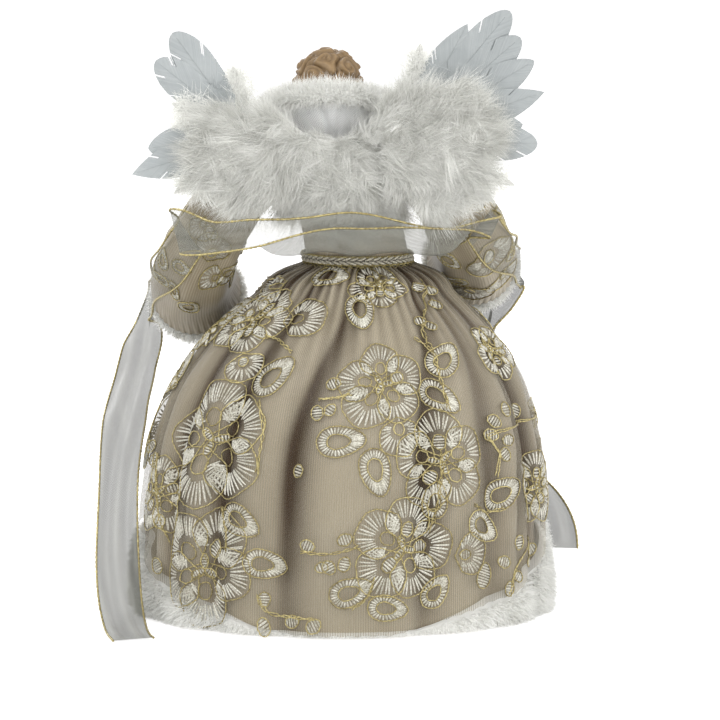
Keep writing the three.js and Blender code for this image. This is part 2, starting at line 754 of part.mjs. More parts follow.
// Head. Each feature of the face is a rounded bump or hollow on the front of a ball.
function bump(value, centre, spread) {
  return Math.exp(-(((value - centre) / spread) ** 2));
}

function faceRelief(x, z) {
  return featureShares.reduce((sum, { relief, aside, width, rise, height }) => {
    return sum + relief * bump(Math.abs(x), aside, width) * bump(z, rise, height);
  }, 0);
}

function headBall(gap) {
  const geometry = new THREE.SphereGeometry(1, HEAD_COLUMNS, HEAD_ROWS);
  geometry.rotateX(Math.PI / 2);
  const position = geometry.getAttribute("position");
  times(position.count, (index) => {
    const [x, y, z] = [position.getX(index), position.getY(index), position.getZ(index)];
    const relief = y < 0 ? faceRelief(x, z) * smooth(-2 * y) : 0;
    const jaw = 1 - JAW_TAPER_SHARE * smooth(-z);
    position.setXYZ(
      index,
      x * jaw * (HEAD_HALF_WIDTH + gap),
      y * (1 + relief) * (HEAD_HALF_DEPTH + gap) - HEAD_FORWARD,
      z * (HEAD_HALF_HEIGHT + gap) + HEAD_HEIGHT,
    );
  });
  geometry.translate(leanAt(HEAD_HEIGHT), 0, 0);
  return solid(geometry);
}

function headWithNeck(gap) {
  const foot = TORSO_TOP + SEAT_GAP;
  const [low, high] = [NECK_RADIUS + gap, NECK_TOP_RADIUS + gap];
  const neck = uprightCylinder(low, high, foot, HEAD_HEIGHT, NECK_SIDES);
  return headBall(gap).add(solid(leaned(neck)));
}

function hair() {
  const centre = vec(leanAt(HEAD_HEIGHT), HAIR_SETBACK - HEAD_FORWARD, HEAD_HEIGHT + HAIR_LIFT);
  const ball = new THREE.SphereGeometry(1, 16, 12).rotateX(Math.PI / 2);
  ball.scale(HAIR_HALF_WIDTH, HAIR_HALF_DEPTH, HAIR_HALF_HEIGHT);
  ball.translate(centre.x, centre.y, centre.z);
  let mass = solid(ball);
  curlShares.forEach(({ rise, count }, row) => {
    times(count, (k) => {
      const angle = (FULL_TURN * (k + row / 2)) / count;
      const level = Math.sqrt(1 - rise ** 2);
      const curl = new THREE.SphereGeometry(CURL_RADIUS, 6, 4);
      curl.translate(
        centre.x + (HAIR_HALF_WIDTH - CURL_RADIUS / 2) * level * Math.cos(angle),
        centre.y + (HAIR_HALF_DEPTH - CURL_RADIUS / 2) * level * Math.sin(angle),
        centre.z + (HAIR_HALF_HEIGHT - CURL_RADIUS / 2) * rise,
      );
      mass = mass.add(solid(curl));
    });
  });
  const hairline = HEAD_HEIGHT + HAIRLINE_RISE;
  const front = new THREE.BoxGeometry(
    4 * HAIR_HALF_WIDTH,
    2 * HAIR_HALF_DEPTH,
    4 * HAIR_HALF_HEIGHT,
  );
  front.translate(
    centre.x,
    centre.y - HAIR_HALF_DEPTH - HAIRLINE_DEPTH,
    hairline - 2 * HAIR_HALF_HEIGHT,
  );
  const cut = mass.subtract(headWithNeck(SEAT_GAP)).subtract(solid(front));
  const clear = cut.subtract(solid(collar(SEAT_GAP)));
  const bodies = clear.decompose();
  return geometryOf(bodies.reduce((best, body) => (body.volume() > best.volume() ? body : best)));
}

// Arms. Each is built round its own shoulder, with side 1 for the left and -1 for the right.
function armCentres(side, spread, drop) {
  return armShares.map((share) =>
    vec(side * spread * share.spread, -ARM_REACH * share.reach, -drop * share.drop),
  );
}

// Frames along a row of points, each turned from the one before by the least amount.
function framesAlong(centres, firstTangent) {
  const frames = [];
  centres.forEach((centre, index) => {
    const before = centres[Math.max(0, index - 1)];
    const after = centres[Math.min(centres.length - 1, index + 1)];
    const tangent = index ? after.clone().sub(before).normalize() : firstTangent.clone();
    const previous = frames[index - 1];
    const up = previous ? previous.up.clone() : UP.clone();
    if (previous) {
      const turn = new THREE.Quaternion().setFromUnitVectors(previous.tangent, tangent);
      up.applyQuaternion(turn);
    }
    frames.push({ centre, tangent, up, across: new THREE.Vector3().crossVectors(tangent, up) });
  });
  return frames;
}

function pointRound(frame, radius, angle, along = 0) {
  return frame.centre
    .clone()
    .addScaledVector(frame.tangent, along)
    .addScaledVector(frame.across, radius * Math.cos(angle))
    .addScaledVector(frame.up, radius * Math.sin(angle));
}

function sleeveRadius(station) {
  const low = Math.min(armShares.length - 2, Math.floor(station));
  const girth = mix(armShares[low].girth, armShares[low + 1].girth, station - low);
  return CUFF_MOUTH_RADIUS * girth;
}

function sleeve(frames) {
  const last = frames.length - 1;
  const hole = SHOULDER_WIRE_RADIUS + RUNNING_GAP;
  return wallLoft(
    times(SLEEVE_COLUMNS, (k) => {
      const angle = (FULL_TURN * k) / SLEEVE_COLUMNS;
      const outer = frames.map((frame, index) => {
        const fade = Math.sin((Math.PI * index) / last);
        const gather = SLEEVE_GATHER_DEPTH * fade * Math.cos(SLEEVE_GATHERS * angle);
        return pointRound(frame, sleeveRadius(index) + gather, angle);
      });
      const inner = frames.map((frame, index) => {
        const fade = Math.sin((Math.PI * index) / last);
        const gather = SLEEVE_GATHER_DEPTH * fade * Math.cos(SLEEVE_GATHERS * angle);
        const along = index ? 0 : SLEEVE_END_PLATE;
        return pointRound(frame, sleeveRadius(index) + gather - SLEEVE_WALL, angle, along);
      });
      const holeOuter = pointRound(frames[0], hole, angle);
      const holeInner = pointRound(frames[0], hole, angle, SLEEVE_END_PLATE);
      return [holeOuter, ...outer, ...inner.reverse(), holeInner];
    }),
  );
}

// Middle of the plush ring: as near the sleeve's mouth as its round section allows.
function cuffCentre(mouth) {
  const reach = CUFF_TUBE + SEAT_GAP;
  const aside = CUFF_MOUTH_RADIUS - SLEEVE_WALL - CUFF_RING_RADIUS;
  const along = Math.sqrt(Math.max(0, reach ** 2 - aside ** 2));
  return mouth.centre.clone().addScaledVector(mouth.tangent, along);
}

function cuffFur(mouth) {
  const geometry = new THREE.TorusGeometry(CUFF_RING_RADIUS, CUFF_TUBE, CUFF_SIDES, CUFF_COLUMNS);
  geometry.applyQuaternion(new THREE.Quaternion().setFromUnitVectors(UP, mouth.tangent));
  geometry.translate(...cuffCentre(mouth).toArray());
  return geometryOf(solid(geometry));
}

// A round bar along a curve.
function barAlong(curve, radius, sides, steps) {
  const section = new THREE.Shape(
    times(sides, (k) => {
      const angle = (FULL_TURN * k) / sides;
      return new THREE.Vector2(radius * Math.cos(angle), radius * Math.sin(angle));
    }),
  );
  const options = { steps, extrudePath: curve, bevelEnabled: false };
  return solid(new THREE.ExtrudeGeometry(section, options));
}

function eyeOffset(side) {
  return side * (SLEEVE_END_PLATE + SEAT_GAP + EYE_TUBE);
}

// The arm's middle line, from its eye to just past the sleeve's mouth.
function armCurve(side, frames) {
  const mouth = frames[frames.length - 1];
  const end = mouth.centre.clone().addScaledVector(mouth.tangent, ARM_CORE_OVERHANG);
  const start = vec(eyeOffset(side), 0, -EYE_RADIUS);
  const bend = vec(2 * eyeOffset(side), 0, -EYE_RADIUS - ARM_WIRE_LEAD);
  const middle = frames.slice(2).map((frame) => frame.centre);
  return new THREE.CatmullRomCurve3([start, bend, ...middle, end]);
}

function armWire(side, curve) {
  const eye = new THREE.TorusGeometry(EYE_RADIUS, EYE_TUBE, 6, 12);
  eye.rotateY(Math.PI / 2);
  eye.translate(eyeOffset(side), 0, 0);
  const bar = barAlong(curve, ARM_WIRE_RADIUS, ARM_WIRE_SIDES, ARM_WIRE_STEPS);
  const shaft = new THREE.CylinderGeometry(
    SHOULDER_WIRE_RADIUS + RUNNING_GAP,
    SHOULDER_WIRE_RADIUS + RUNNING_GAP,
    4 * EYE_RADIUS,
    ROUND_SIDES,
  );
  shaft.rotateZ(Math.PI / 2);
  shaft.translate(eyeOffset(side), 0, 0);
  return geometryOf(bar.add(solid(eye)).subtract(solid(shaft)));
}

function armPadding(curve) {
  const places = times(PADDING_POINTS, (k) =>
    mix(PADDING_START_SHARE, PADDING_END_SHARE, k / (PADDING_POINTS - 1)),
  );
  const middle = new THREE.CatmullRomCurve3(places.map((share) => curve.getPointAt(share)));
  const outer = barAlong(middle, PADDING_RADIUS, PADDING_SIDES, ARM_WIRE_STEPS / 2);
  const bore = barAlong(curve, ARM_WIRE_RADIUS + SEAT_GAP, ARM_WIRE_SIDES, ARM_WIRE_STEPS);
  return geometryOf(outer.subtract(bore));
}

// A hand with its fingers along +Y, its thumb on the inner side and its palm down.
function hand(side, frames) {
  const palm = new THREE.SphereGeometry(1, 10, 6);
  palm.scale(PALM_HALF_WIDTH, PALM_HALF_LENGTH, PALM_HALF_THICKNESS);
  palm.translate(0, WRIST_LENGTH + PALM_HALF_LENGTH / 2, 0);
  const wrist = new THREE.CylinderGeometry(WRIST_RADIUS, WRIST_RADIUS, WRIST_LENGTH, 10);
  wrist.translate(0, WRIST_LENGTH / 2, 0);
  let made = solid(palm).add(solid(wrist));
  const knuckles = WRIST_LENGTH + PALM_HALF_LENGTH;
  times(FINGER_COUNT, (k) => {
    const finger = new THREE.CapsuleGeometry(FINGER_RADIUS, FINGER_LENGTH, 2, 6);
    finger.translate(0, FINGER_LENGTH / 2, 0);
    finger.rotateX(-radians(FINGER_CURL_ANGLE));
    finger.translate((k - (FINGER_COUNT - 1) / 2) * FINGER_PITCH, knuckles, 0);
    made = made.add(solid(finger));
  });
  const thumb = new THREE.CapsuleGeometry(FINGER_RADIUS, FINGER_LENGTH, 2, 6);
  thumb.translate(0, FINGER_LENGTH / 2, 0);
  thumb.rotateZ(side * radians(THUMB_SPLAY_ANGLE));
  thumb.translate(-side * PALM_HALF_WIDTH / 2, WRIST_LENGTH + FINGER_RADIUS, 0);
  const geometry = geometryOf(made.add(solid(thumb)));
  const mouth = frames[frames.length - 1];
  const across = vec(1, 0, 0).addScaledVector(mouth.tangent, -mouth.tangent.x).normalize();
  const normal = new THREE.Vector3().crossVectors(across, mouth.tangent);
  geometry.applyMatrix4(new THREE.Matrix4().makeBasis(across, mouth.tangent, normal));
  const start = mouth.centre
    .clone()
    .addScaledVector(mouth.tangent, ARM_CORE_OVERHANG + SEAT_GAP);
  return geometry.translate(...start.toArray());
}

// A flat strip through a row of points, each with the direction of its width. A point can
// state the strip's own direction there, as the ends that meet another strip do.
function strip(places) {
  const last = places.length - 1;
  const rings = places.map(({ centre, across, heading }, index) => {
    const before = places[Math.max(0, index - 1)].centre;
    const after = places[Math.min(last, index + 1)].centre;
    const along = heading ?? after.clone().sub(before).normalize();
    const flat = across.clone().addScaledVector(along, -along.dot(across)).normalize();
    const normal = new THREE.Vector3().crossVectors(along, flat);
    const corner = (width, depth) =>
      centre.clone().addScaledVector(flat, width).addScaledVector(normal, depth);
    const [half, thin] = [RIBBON_WIDTH / 2, RIBBON_THICKNESS / 2];
    return [corner(half, thin), corner(-half, thin), corner(-half, -thin), corner(half, -thin)];
  });
  return loft(rings, 2);
}

// The ribbon's stretch over one sleeve: from the elbow's back, along its outside and over
// the plush ring.
function loopPlaces(side, frames) {
  const last = frames.length - 1;
  const curve = new THREE.CatmullRomCurve3(frames.map((frame) => frame.centre));
  const outwardOf = (tangent) =>
    vec(side, 0, 0).addScaledVector(tangent, -side * tangent.x).normalize();
  const places = loopShares.map(({ station, turn }) => {
    const centre = curve.getPoint(station / last);
    const tangent = curve.getTangent(station / last);
    const outward = outwardOf(tangent);
    const back = new THREE.Vector3().crossVectors(tangent, outward).multiplyScalar(-side);
    const radial = outward
      .multiplyScalar(Math.cos(radians(turn)))
      .addScaledVector(back, Math.sin(radians(turn)));
    const radius = sleeveRadius(station) + SLEEVE_GATHER_DEPTH + RIBBON_LIFT;
    return { centre: centre.addScaledVector(radial, radius), radial };
  });
  const mouth = frames[last];
  const outward = outwardOf(mouth.tangent);
  [0, CUFF_TUBE].forEach((along) => {
    const centre = cuffCentre(mouth)
      .addScaledVector(mouth.tangent, along)
      .addScaledVector(outward, CUFF_RING_RADIUS + CUFF_TUBE + RIBBON_LIFT);
    places.push({ centre, radial: outward });
  });
  return places.map(({ centre, radial }, index) => {
    const before = places[Math.max(0, index - 1)].centre;
    const after = places[Math.min(places.length - 1, index + 1)].centre;
    const along = after.clone().sub(before).normalize();
    return { centre, across: new THREE.Vector3().crossVectors(along, radial) };
  });
}

function ribbonPoint({ across, behind, rise }) {
  return vec(across * HEM_RADIUS, behind * HEM_RADIUS, rise * WAIST_HEIGHT);
}

// Where the next stretch starts: past the end of a loop by the gap that it keeps, with a
// second point that leads it straight on.
function stepPast(places, fromEnd) {
  const [end, inner] = fromEnd ? places.slice(-2).reverse() : places;
  const along = end.centre.clone().sub(inner.centre).normalize();
  const onward = (distance) => end.centre.clone().addScaledVector(along, distance);
  return {
    centre: onward(SEAT_GAP),
    lead: onward(RIBBON_LEAD),
    across: end.across,
    heading: along,
  };
}

// A tail leaves its loop edge on to the back, and from the turn's start on it twists until
// its flat side faces the back.
function ribbonTail(loop, shares, turnStartShare) {
  const start = stepPast(loop, true);
  const points = [start.centre, start.lead, ...shares.map(ribbonPoint)];
  const curve = new THREE.CatmullRomCurve3(points);
  const side = Math.sign(shares[0].across);
  return strip(
    times(RIBBON_TAIL_STEPS + 1, (k) => {
      const share = k / RIBBON_TAIL_STEPS;
      const turned = smooth((share - turnStartShare) / RIBBON_TURN_SHARE);
      const across = start.across.clone().lerp(vec(side, 0, 0), turned).normalize();
      const heading = k ? undefined : start.heading;
      return { centre: curve.getPointAt(share), across, heading };
    }),
  );
}

function ribbonBack(leftLoop, rightLoop) {
  const left = stepPast(leftLoop, false);
  const right = stepPast(rightLoop, false);
  const middle = ribbonBackShares.map(ribbonPoint);
  const points = [left.centre, left.lead, ...middle, right.lead, right.centre];
  const curve = new THREE.CatmullRomCurve3(points);
  const upright = (across) => across.clone().multiplyScalar(Math.sign(across.z));
  return strip(
    times(RIBBON_BACK_STEPS + 1, (k) => {
      const share = k / RIBBON_BACK_STEPS;
      const near = share < 0.5 ? left : right;
      const turned = smooth(Math.min(share, 1 - share) / RIBBON_TURN_SHARE);
      const across = upright(near.across).lerp(UP, turned).normalize();
      const ends = { 0: left.heading, [RIBBON_BACK_STEPS]: right.heading.clone().negate() };
      return { centre: curve.getPointAt(share), across, heading: ends[k] };
    }),
  );
}

// One arm with all that moves with it.
function buildArm(label, side, spread, drop) {
  const arm = new THREE.Group();
  arm.name = `${label}_arm`;
  arm.position.set(side * SLEEVE_START, 0, SHOULDER_HEIGHT);
  const frames = framesAlong(armCentres(side, spread, drop), vec(side, 0, 0));
  const mouth = frames[frames.length - 1];
  const curve = armCurve(side, frames);
  const loop = loopPlaces(side, frames);
  arm.add(
    piece(`${label}_sleeve`, sleeve(frames), 0xd3bfa3, 0.55),
    piece(`${label}_cuff_fur`, cuffFur(mouth), 0xf1efec, 0.95),
    piece(`${label}_arm_wire`, armWire(side, curve), 0x9a9c9e, 0.35, 1),
    piece(`${label}_arm_padding`, armPadding(curve), 0xe9e4da, 0.95),
    piece(`${label}_hand`, hand(side, frames), 0xe9c6ad, 0.45),
    piece(`${label}_ribbon_loop`, strip(loop), 0xe6e2da, 0.6),
  );
  const placed = loop.map(({ centre, across }) => ({
    centre: centre.clone().add(arm.position),
    across,
  }));
  return { arm, loop: placed };
}

function shoulderWire() {
  const eyeEdge = SLEEVE_END_PLATE + SEAT_GAP + 2 * EYE_TUBE;
  const beadCentre = SLEEVE_START + eyeEdge + BEAD_GAP + BEAD_RADIUS / 2;
  const wire = new THREE.CylinderGeometry(
    SHOULDER_WIRE_RADIUS,
    SHOULDER_WIRE_RADIUS,
    2 * beadCentre,
    ROUND_SIDES,
  );
  wire.rotateZ(Math.PI / 2);
  let made = solid(wire);
  [-1, 1].forEach((side) => {
    const bead = new THREE.SphereGeometry(BEAD_RADIUS, 10, 8);
    bead.translate(side * beadCentre, 0, 0);
    made = made.add(solid(bead));
  });
  const geometry = geometryOf(made);
  return geometry.translate(0, 0, SHOULDER_HEIGHT);
}

// Wings. Depths are measured backwards from the card's outer face.
function tabFront() {
  return torsoRadii(SHOULDER_HEIGHT).depth + BODICE_CLEARANCE + BODICE_THICKNESS + SEAT_GAP;
}

function cardBack() {
  return tabFront() + TAB_THICKNESS + SEAT_GAP + CARD_THICKNESS;
}

function wingTab() {
  const geometry = new THREE.BoxGeometry(2 * TAB_HALF_WIDTH, TAB_THICKNESS, TAB_HEIGHT);
  return geometry.translate(0, tabFront() + TAB_THICKNESS / 2, TAB_MIDDLE_HEIGHT);
}

function sweepAt(distance) {
  return WING_SWEEP * (distance / WING_SPAN) ** 2;
}

// The card: a flat plate with round ends, from the wing's root to the fan's middle.
function wingCard(rootX, rootZ) {
  const heading = Math.atan2(-rootZ, -rootX);
  const shape = new THREE.Shape();
  shape.absarc(0, 0, CARD_RADIUS, heading - Math.PI / 2, heading + Math.PI / 2);
  shape.absarc(rootX, rootZ, CARD_RADIUS, heading + Math.PI / 2, heading + (3 * Math.PI) / 2);
  const options = { depth: CARD_THICKNESS, bevelEnabled: false, curveSegments: CARD_ARC_STEPS };
  const geometry = new THREE.ExtrudeGeometry(shape, options);
  return geometry.rotateX(Math.PI / 2);
}

function feather(side, angle, length, layer) {
  const pitch = SHAFT_THICKNESS + SEAT_GAP;
  const depth = SEAT_GAP + SHAFT_THICKNESS / 2 + layer * pitch;
  const turn = radians(angle);
  const along = vec(side * Math.cos(turn), 0, Math.sin(turn));
  const across = vec(-side * Math.sin(turn), 0, Math.cos(turn));
  const rings = vaneShares.map((share) => {
    const distance = mix(FEATHER_START, length, share.along);
    const half = (FEATHER_WIDTH * share.width) / 2;
    const corner = (aside, thickness) => {
      const point = along.clone().multiplyScalar(distance).addScaledVector(across, aside);
      point.y = depth + thickness + sweepAt(distance);
      return point;
    };
    const [edge, middle] = [VANE_THICKNESS / 2, SHAFT_THICKNESS / 2];
    return [
      corner(half, edge),
      corner(0, middle),
      corner(-half, edge),
      corner(-half, -edge),
      corner(0, -middle),
      corner(half, -edge),
    ];
  });
  return loft(rings);
}

// A lobed cushion of down: flat where it lies on the feathers, crowned on the other side.
function downCluster(centreX, centreZ, halfWidth, halfHeight, base, thickness, swept) {
  const rings = downRowShares.map(({ out, crown }) =>
    times(DOWN_COLUMNS, (k) => {
      const angle = (FULL_TURN * k) / DOWN_COLUMNS;
      const reach = out * (1 + DOWN_LOBE_SHARE * Math.cos(DOWN_LOBES * angle));
      const x = centreX + halfWidth * reach * Math.cos(angle);
      const z = centreZ + halfHeight * reach * Math.sin(angle);
      const sweep = swept ? sweepAt(Math.hypot(x, z)) : 0;
      return vec(x, base + thickness * crown + sweep, z);
    }),
  );
  return loft(rings);
}

function buildWing(label, side, sizes) {
  const wing = new THREE.Group();
  wing.name = `${label}_wing`;
  wing.position.set(side * sizes.fanOffset, cardBack(), sizes.fanHeight);
  const rootX = side * (sizes.rootOffset - sizes.fanOffset);
  const rootZ = TAB_MIDDLE_HEIGHT - sizes.fanHeight;
  wing.add(piece(`${label}_wing_card`, wingCard(rootX, rootZ), 0xf4f4f2, 0.9));
  sizes.feathers.forEach(({ angle, length }, layer) => {
    const geometry = feather(side, angle, length * WING_SPAN, layer);
    wing.add(piece(`${label}_feather_${layer + 1}`, geometry, 0xf3f4f6, 0.7));
  });
  const base = sizes.feathers.length * (SHAFT_THICKNESS + SEAT_GAP) + SEAT_GAP;
  const down = downCluster(
    side * sizes.downOffset,
    sizes.downRise,
    sizes.downHalfWidth,
    sizes.downHalfHeight,
    base,
    SIDE_DOWN_THICKNESS,
    true,
  );
  wing.add(piece(`${label}_down`, down, 0xf3f3f2, 0.95));
  return wing;
}

const leftWingSizes = {
  rootOffset: LEFT_ROOT_OFFSET,
  fanOffset: LEFT_FAN_OFFSET,
  fanHeight: LEFT_FAN_HEIGHT,
  feathers: leftFeatherShares,
  downOffset: LEFT_DOWN_OFFSET,
  downRise: LEFT_DOWN_RISE,
  downHalfWidth: LEFT_DOWN_HALF_WIDTH,
  downHalfHeight: LEFT_DOWN_HALF_HEIGHT,
};
const rightWingSizes = {
  rootOffset: RIGHT_ROOT_OFFSET,
  fanOffset: RIGHT_FAN_OFFSET,
  fanHeight: RIGHT_FAN_HEIGHT,
  feathers: rightFeatherShares,
  downOffset: RIGHT_DOWN_OFFSET,
  downRise: RIGHT_DOWN_RISE,
  downHalfWidth: RIGHT_DOWN_HALF_WIDTH,
  downHalfHeight: RIGHT_DOWN_HALF_HEIGHT,
};

function centreDown() {
  const base = cardBack() + SEAT_GAP;
  return downCluster(
    0,
    CENTRE_DOWN_HEIGHT,
    CENTRE_DOWN_HALF_WIDTH,
    CENTRE_DOWN_HALF_HEIGHT,
    base,
    CENTRE_DOWN_THICKNESS,
    false,
  );
}

function skirtOverlay() {
  return skirtSheet(overlayHem, overlayRowShares, () => 0, OVERLAY_THICKNESS);
}

function skirtLining() {
  return skirtSheet(() => LINING_HEM, liningRowShares, liningOffset, LINING_THICKNESS);
}

const angel = new THREE.Group();
angel.name = "decorative_angel";

angel.add(
  piece("hem_hoop", hemHoop(), 0xe8e4dc, 0.6),
  ...formerPanels().map((panel, k) => piece(`former_panel_${k + 1}`, panel, 0xe9e6df, 0.8)),
  piece("skirt_lining", skirtLining(), 0xdcc9b3, 0.45),
  piece("skirt_overlay", skirtOverlay(), 0xcdb894, 0.6),
  piece("hem_fur", hemFur(), 0xf1efec, 0.95),
  piece("torso_form", torsoForm(), 0xe9e4da, 0.9),
  piece("bodice", bodice(), 0xe3d6c3, 0.5),
  piece("waist_braid", waistBraid(), 0xe4d9bd, 0.6),
  piece("yoke", yoke(), 0xf4f5f7, 0.5),
  piece("fur_collar", collar(0), 0xf2f1ef, 0.95),
  piece("neck_peg", geometryOf(pegSolid(0)), 0xc8a878, 0.7),
  piece("head", geometryOf(headWithNeck(0).subtract(pegSolid(SEAT_GAP))), 0xe9c6ad, 0.45),
  piece("hair", hair(), 0xb98b5e, 0.5),
  piece("shoulder_wire", shoulderWire(), 0x9a9c9e, 0.35, 1),
);

const leftArm = buildArm("left", 1, LEFT_ARM_SPREAD, LEFT_ARM_DROP);
const rightArm = buildArm("right", -1, RIGHT_ARM_SPREAD, RIGHT_ARM_DROP);
angel.add(leftArm.arm, rightArm.arm);

angel.add(
  piece("wing_tab", wingTab(), 0xeeeeea, 0.8),
  buildWing("left", 1, leftWingSizes),
  buildWing("right", -1, rightWingSizes),
  piece("centre_down", centreDown(), 0xf3f3f2, 0.95),
);

const leftTail = ribbonTail(leftArm.loop, leftTailShares, LEFT_TAIL_TURN_START_SHARE);
const rightTail = ribbonTail(rightArm.loop, rightTailShares, RIGHT_TAIL_TURN_START_SHARE);
angel.add(
  piece("ribbon_back", ribbonBack(leftArm.loop, rightArm.loop), 0xe6e2da, 0.6),
  piece("ribbon_left_tail", leftTail, 0xe6e2da, 0.6),
  piece("ribbon_right_tail", rightTail, 0xe6e2da, 0.6),
);

export default angel;
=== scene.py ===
"""Looks of the decorative angel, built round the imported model.

Sizes are in millimetres and angles in degrees unless a docstring says otherwise, and
Sculpt.build turns millimetres into metres. The figure stands on z = 0 and faces -Y, and +X is
its left. Every random draw comes from a generator with a fixed seed.
"""

import functools
import logging
import math
from collections.abc import Iterable, Sequence
from dataclasses import dataclass, field, replace
from enum import Enum

import bpy
import numpy as np
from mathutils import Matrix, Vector


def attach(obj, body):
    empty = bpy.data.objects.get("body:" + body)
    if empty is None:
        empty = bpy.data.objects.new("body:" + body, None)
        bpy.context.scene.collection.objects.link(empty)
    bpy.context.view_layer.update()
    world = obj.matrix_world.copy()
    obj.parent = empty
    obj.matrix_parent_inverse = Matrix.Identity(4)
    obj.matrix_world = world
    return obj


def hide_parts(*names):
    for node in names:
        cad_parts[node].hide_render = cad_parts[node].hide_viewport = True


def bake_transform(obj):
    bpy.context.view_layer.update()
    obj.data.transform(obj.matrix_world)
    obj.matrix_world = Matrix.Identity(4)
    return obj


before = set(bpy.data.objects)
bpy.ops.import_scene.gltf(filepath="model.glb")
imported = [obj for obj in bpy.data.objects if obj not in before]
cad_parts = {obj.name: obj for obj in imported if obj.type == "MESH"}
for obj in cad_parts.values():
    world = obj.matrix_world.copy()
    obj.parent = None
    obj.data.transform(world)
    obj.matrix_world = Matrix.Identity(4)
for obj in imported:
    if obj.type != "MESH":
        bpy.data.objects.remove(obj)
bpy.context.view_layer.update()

LOG = logging.getLogger("angel")
MM = 0.001
FULL_TURN = 2 * math.pi
UP = np.array([0.0, 0.0, 1.0])
Array = np.ndarray
Piece = bpy.types.Object
Socket = bpy.types.NodeSocket
Random = np.random.Generator
Pair = tuple[float, float]
Triple = tuple[float, float, float]


def smooth(value: Array | float) -> Array:
    """The value, clamped to 0 to 1 and eased at both ends."""
    share = np.clip(value, 0.0, 1.0)
    return share * share * (3 - 2 * share)


def mix(low: Array | float, high: Array | float, share: Array | float) -> Array | float:
    """The value that lies at the share of the way from low to high."""
    return low + (high - low) * share


def unit(vectors: Array) -> Array:
    """The vectors at length one."""
    return vectors / np.maximum(np.linalg.norm(vectors, axis=-1, keepdims=True), 1e-9)


def turns(count: int) -> Array:
    """Even angles round a full turn."""
    return np.linspace(0, FULL_TURN, count, endpoint=False)


def compass(degrees: float) -> tuple[Array, Array]:
    """The flat direction at an angle, and the one square to it."""
    along = np.array([math.cos(math.radians(degrees)), math.sin(math.radians(degrees))])
    return along, np.array([-along[1], along[0]])


def run_along(points: Array) -> Array:
    """How far along the path each of its points lies."""
    return np.concatenate([[0], np.cumsum(np.linalg.norm(np.diff(points, axis=0), axis=1))])


def oval_ring(middle: Array | float, wide: Array, deep: Array, angle: Array, z: Array) -> Array:
    """Points round level ovals, by the x of the middle, both half widths, angle and height."""
    return np.stack([middle + wide * np.cos(angle), deep * np.sin(angle), z + 0 * angle], -1)


def ball_rows(count: int) -> tuple[Array, Array]:
    """The heights of a unit ball's rows, and the ball's radius at each."""
    level = np.sin(np.linspace(-0.9995, 0.9995, count) * math.pi / 2)[:, None]
    return level, np.sqrt(1 - level ** 2)


def through(points: Array, places: Array) -> Array:
    """A smooth curve through a row of points.

    Args:
        points: The points, one a row.
        places: Where on the row, from 0 to the number of points less one.

    Returns:
        One point for each place.
    """
    row = np.asarray(points, float)
    padded = np.concatenate([[2 * row[0] - row[1]], row, [2 * row[-1] - row[-2]]])
    start = np.clip(np.floor(places).astype(int), 0, len(row) - 2)
    part = (places - start)[:, None]
    before, low, high, after = (padded[start + step] for step in range(4))
    bend = 2 * before - 5 * low + 4 * high - after
    twist = 3 * low - before - 3 * high + after
    return low + 0.5 * part * (high - before + part * (bend + part * twist))


def evenly(points: Array, count: int) -> Array:
    """The curve through the points, at even steps of its own length.

    Args:
        points: The points that it passes through.
        count: How many points come back.

    Returns:
        The points along the curve.
    """
    fine = through(points, np.linspace(0, len(points) - 1, 40 * len(points)))
    run = run_along(fine)
    wanted = np.linspace(0, run[-1], count)
    return np.stack([np.interp(wanted, run, fine[:, axis]) for axis in range(fine.shape[1])], 1)


def transported(path: Array, up: Array) -> tuple[Array, Array, Array]:
    """Frames along a path, each turned from the one before by the least amount.

    Args:
        path: The points of the path.
        up: The first frame's upward direction, roughly.

    Returns:
        The tangents, the upward directions and the sideways directions.
    """
    tangents = unit(np.gradient(path, axis=0))
    ups = np.empty_like(tangents)
    current = np.asarray(up, float)
    for index, tangent in enumerate(tangents):
        current = current - tangent * (current @ tangent)
        current = current / max(np.linalg.norm(current), 1e-9)
        ups[index] = current
    return tangents, ups, np.cross(tangents, ups)


def quads(rows: int, columns: int, around: bool = False) -> Array:
    """The faces of a grid of points.

    Args:
        rows: How many rows of points there are.
        columns: How many points each row has.
        around: Whether the last column joins the first.

    Returns:
        The four corners of each face.
    """
    last = columns if around else columns - 1
    row, column = np.meshgrid(np.arange(rows - 1), np.arange(last), indexing="ij")
    after = (column + 1) % columns
    corners = [row * columns + column, row * columns + after]
    corners += [(row + 1) * columns + after, (row + 1) * columns + column]
    return np.stack(corners, -1).reshape(-1, 4)


def paint(red: int, green: int, blue: int) -> tuple[float, float, float, float]:
    """A colour as the screen shows it, in the linear numbers that a shader takes."""
    parts = [value / 255 for value in (red, green, blue)]
    linear = [p / 12.92 if p <= 0.04045 else ((p + 0.055) / 1.055) ** 2.4 for p in parts]
    return (*linear, 1.0)


def linked(name: str, data: bpy.types.ID) -> Piece:
    """A new object in the scene, with the data given."""
    made = bpy.data.objects.new(name, data)
    bpy.context.scene.collection.objects.link(made)
    return made


def set_in(piece: Piece, body: str, slot: str, *nodes: str) -> Piece:
    """Sets a piece in the frame.

    Args:
        piece: The piece.
        body: The body that it rides on.
        slot: Not used.
        *nodes: The nodes that it stands for.

    Returns:
        The piece.
    """
    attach(piece, body)
    if nodes:
        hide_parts(*nodes)
    return piece


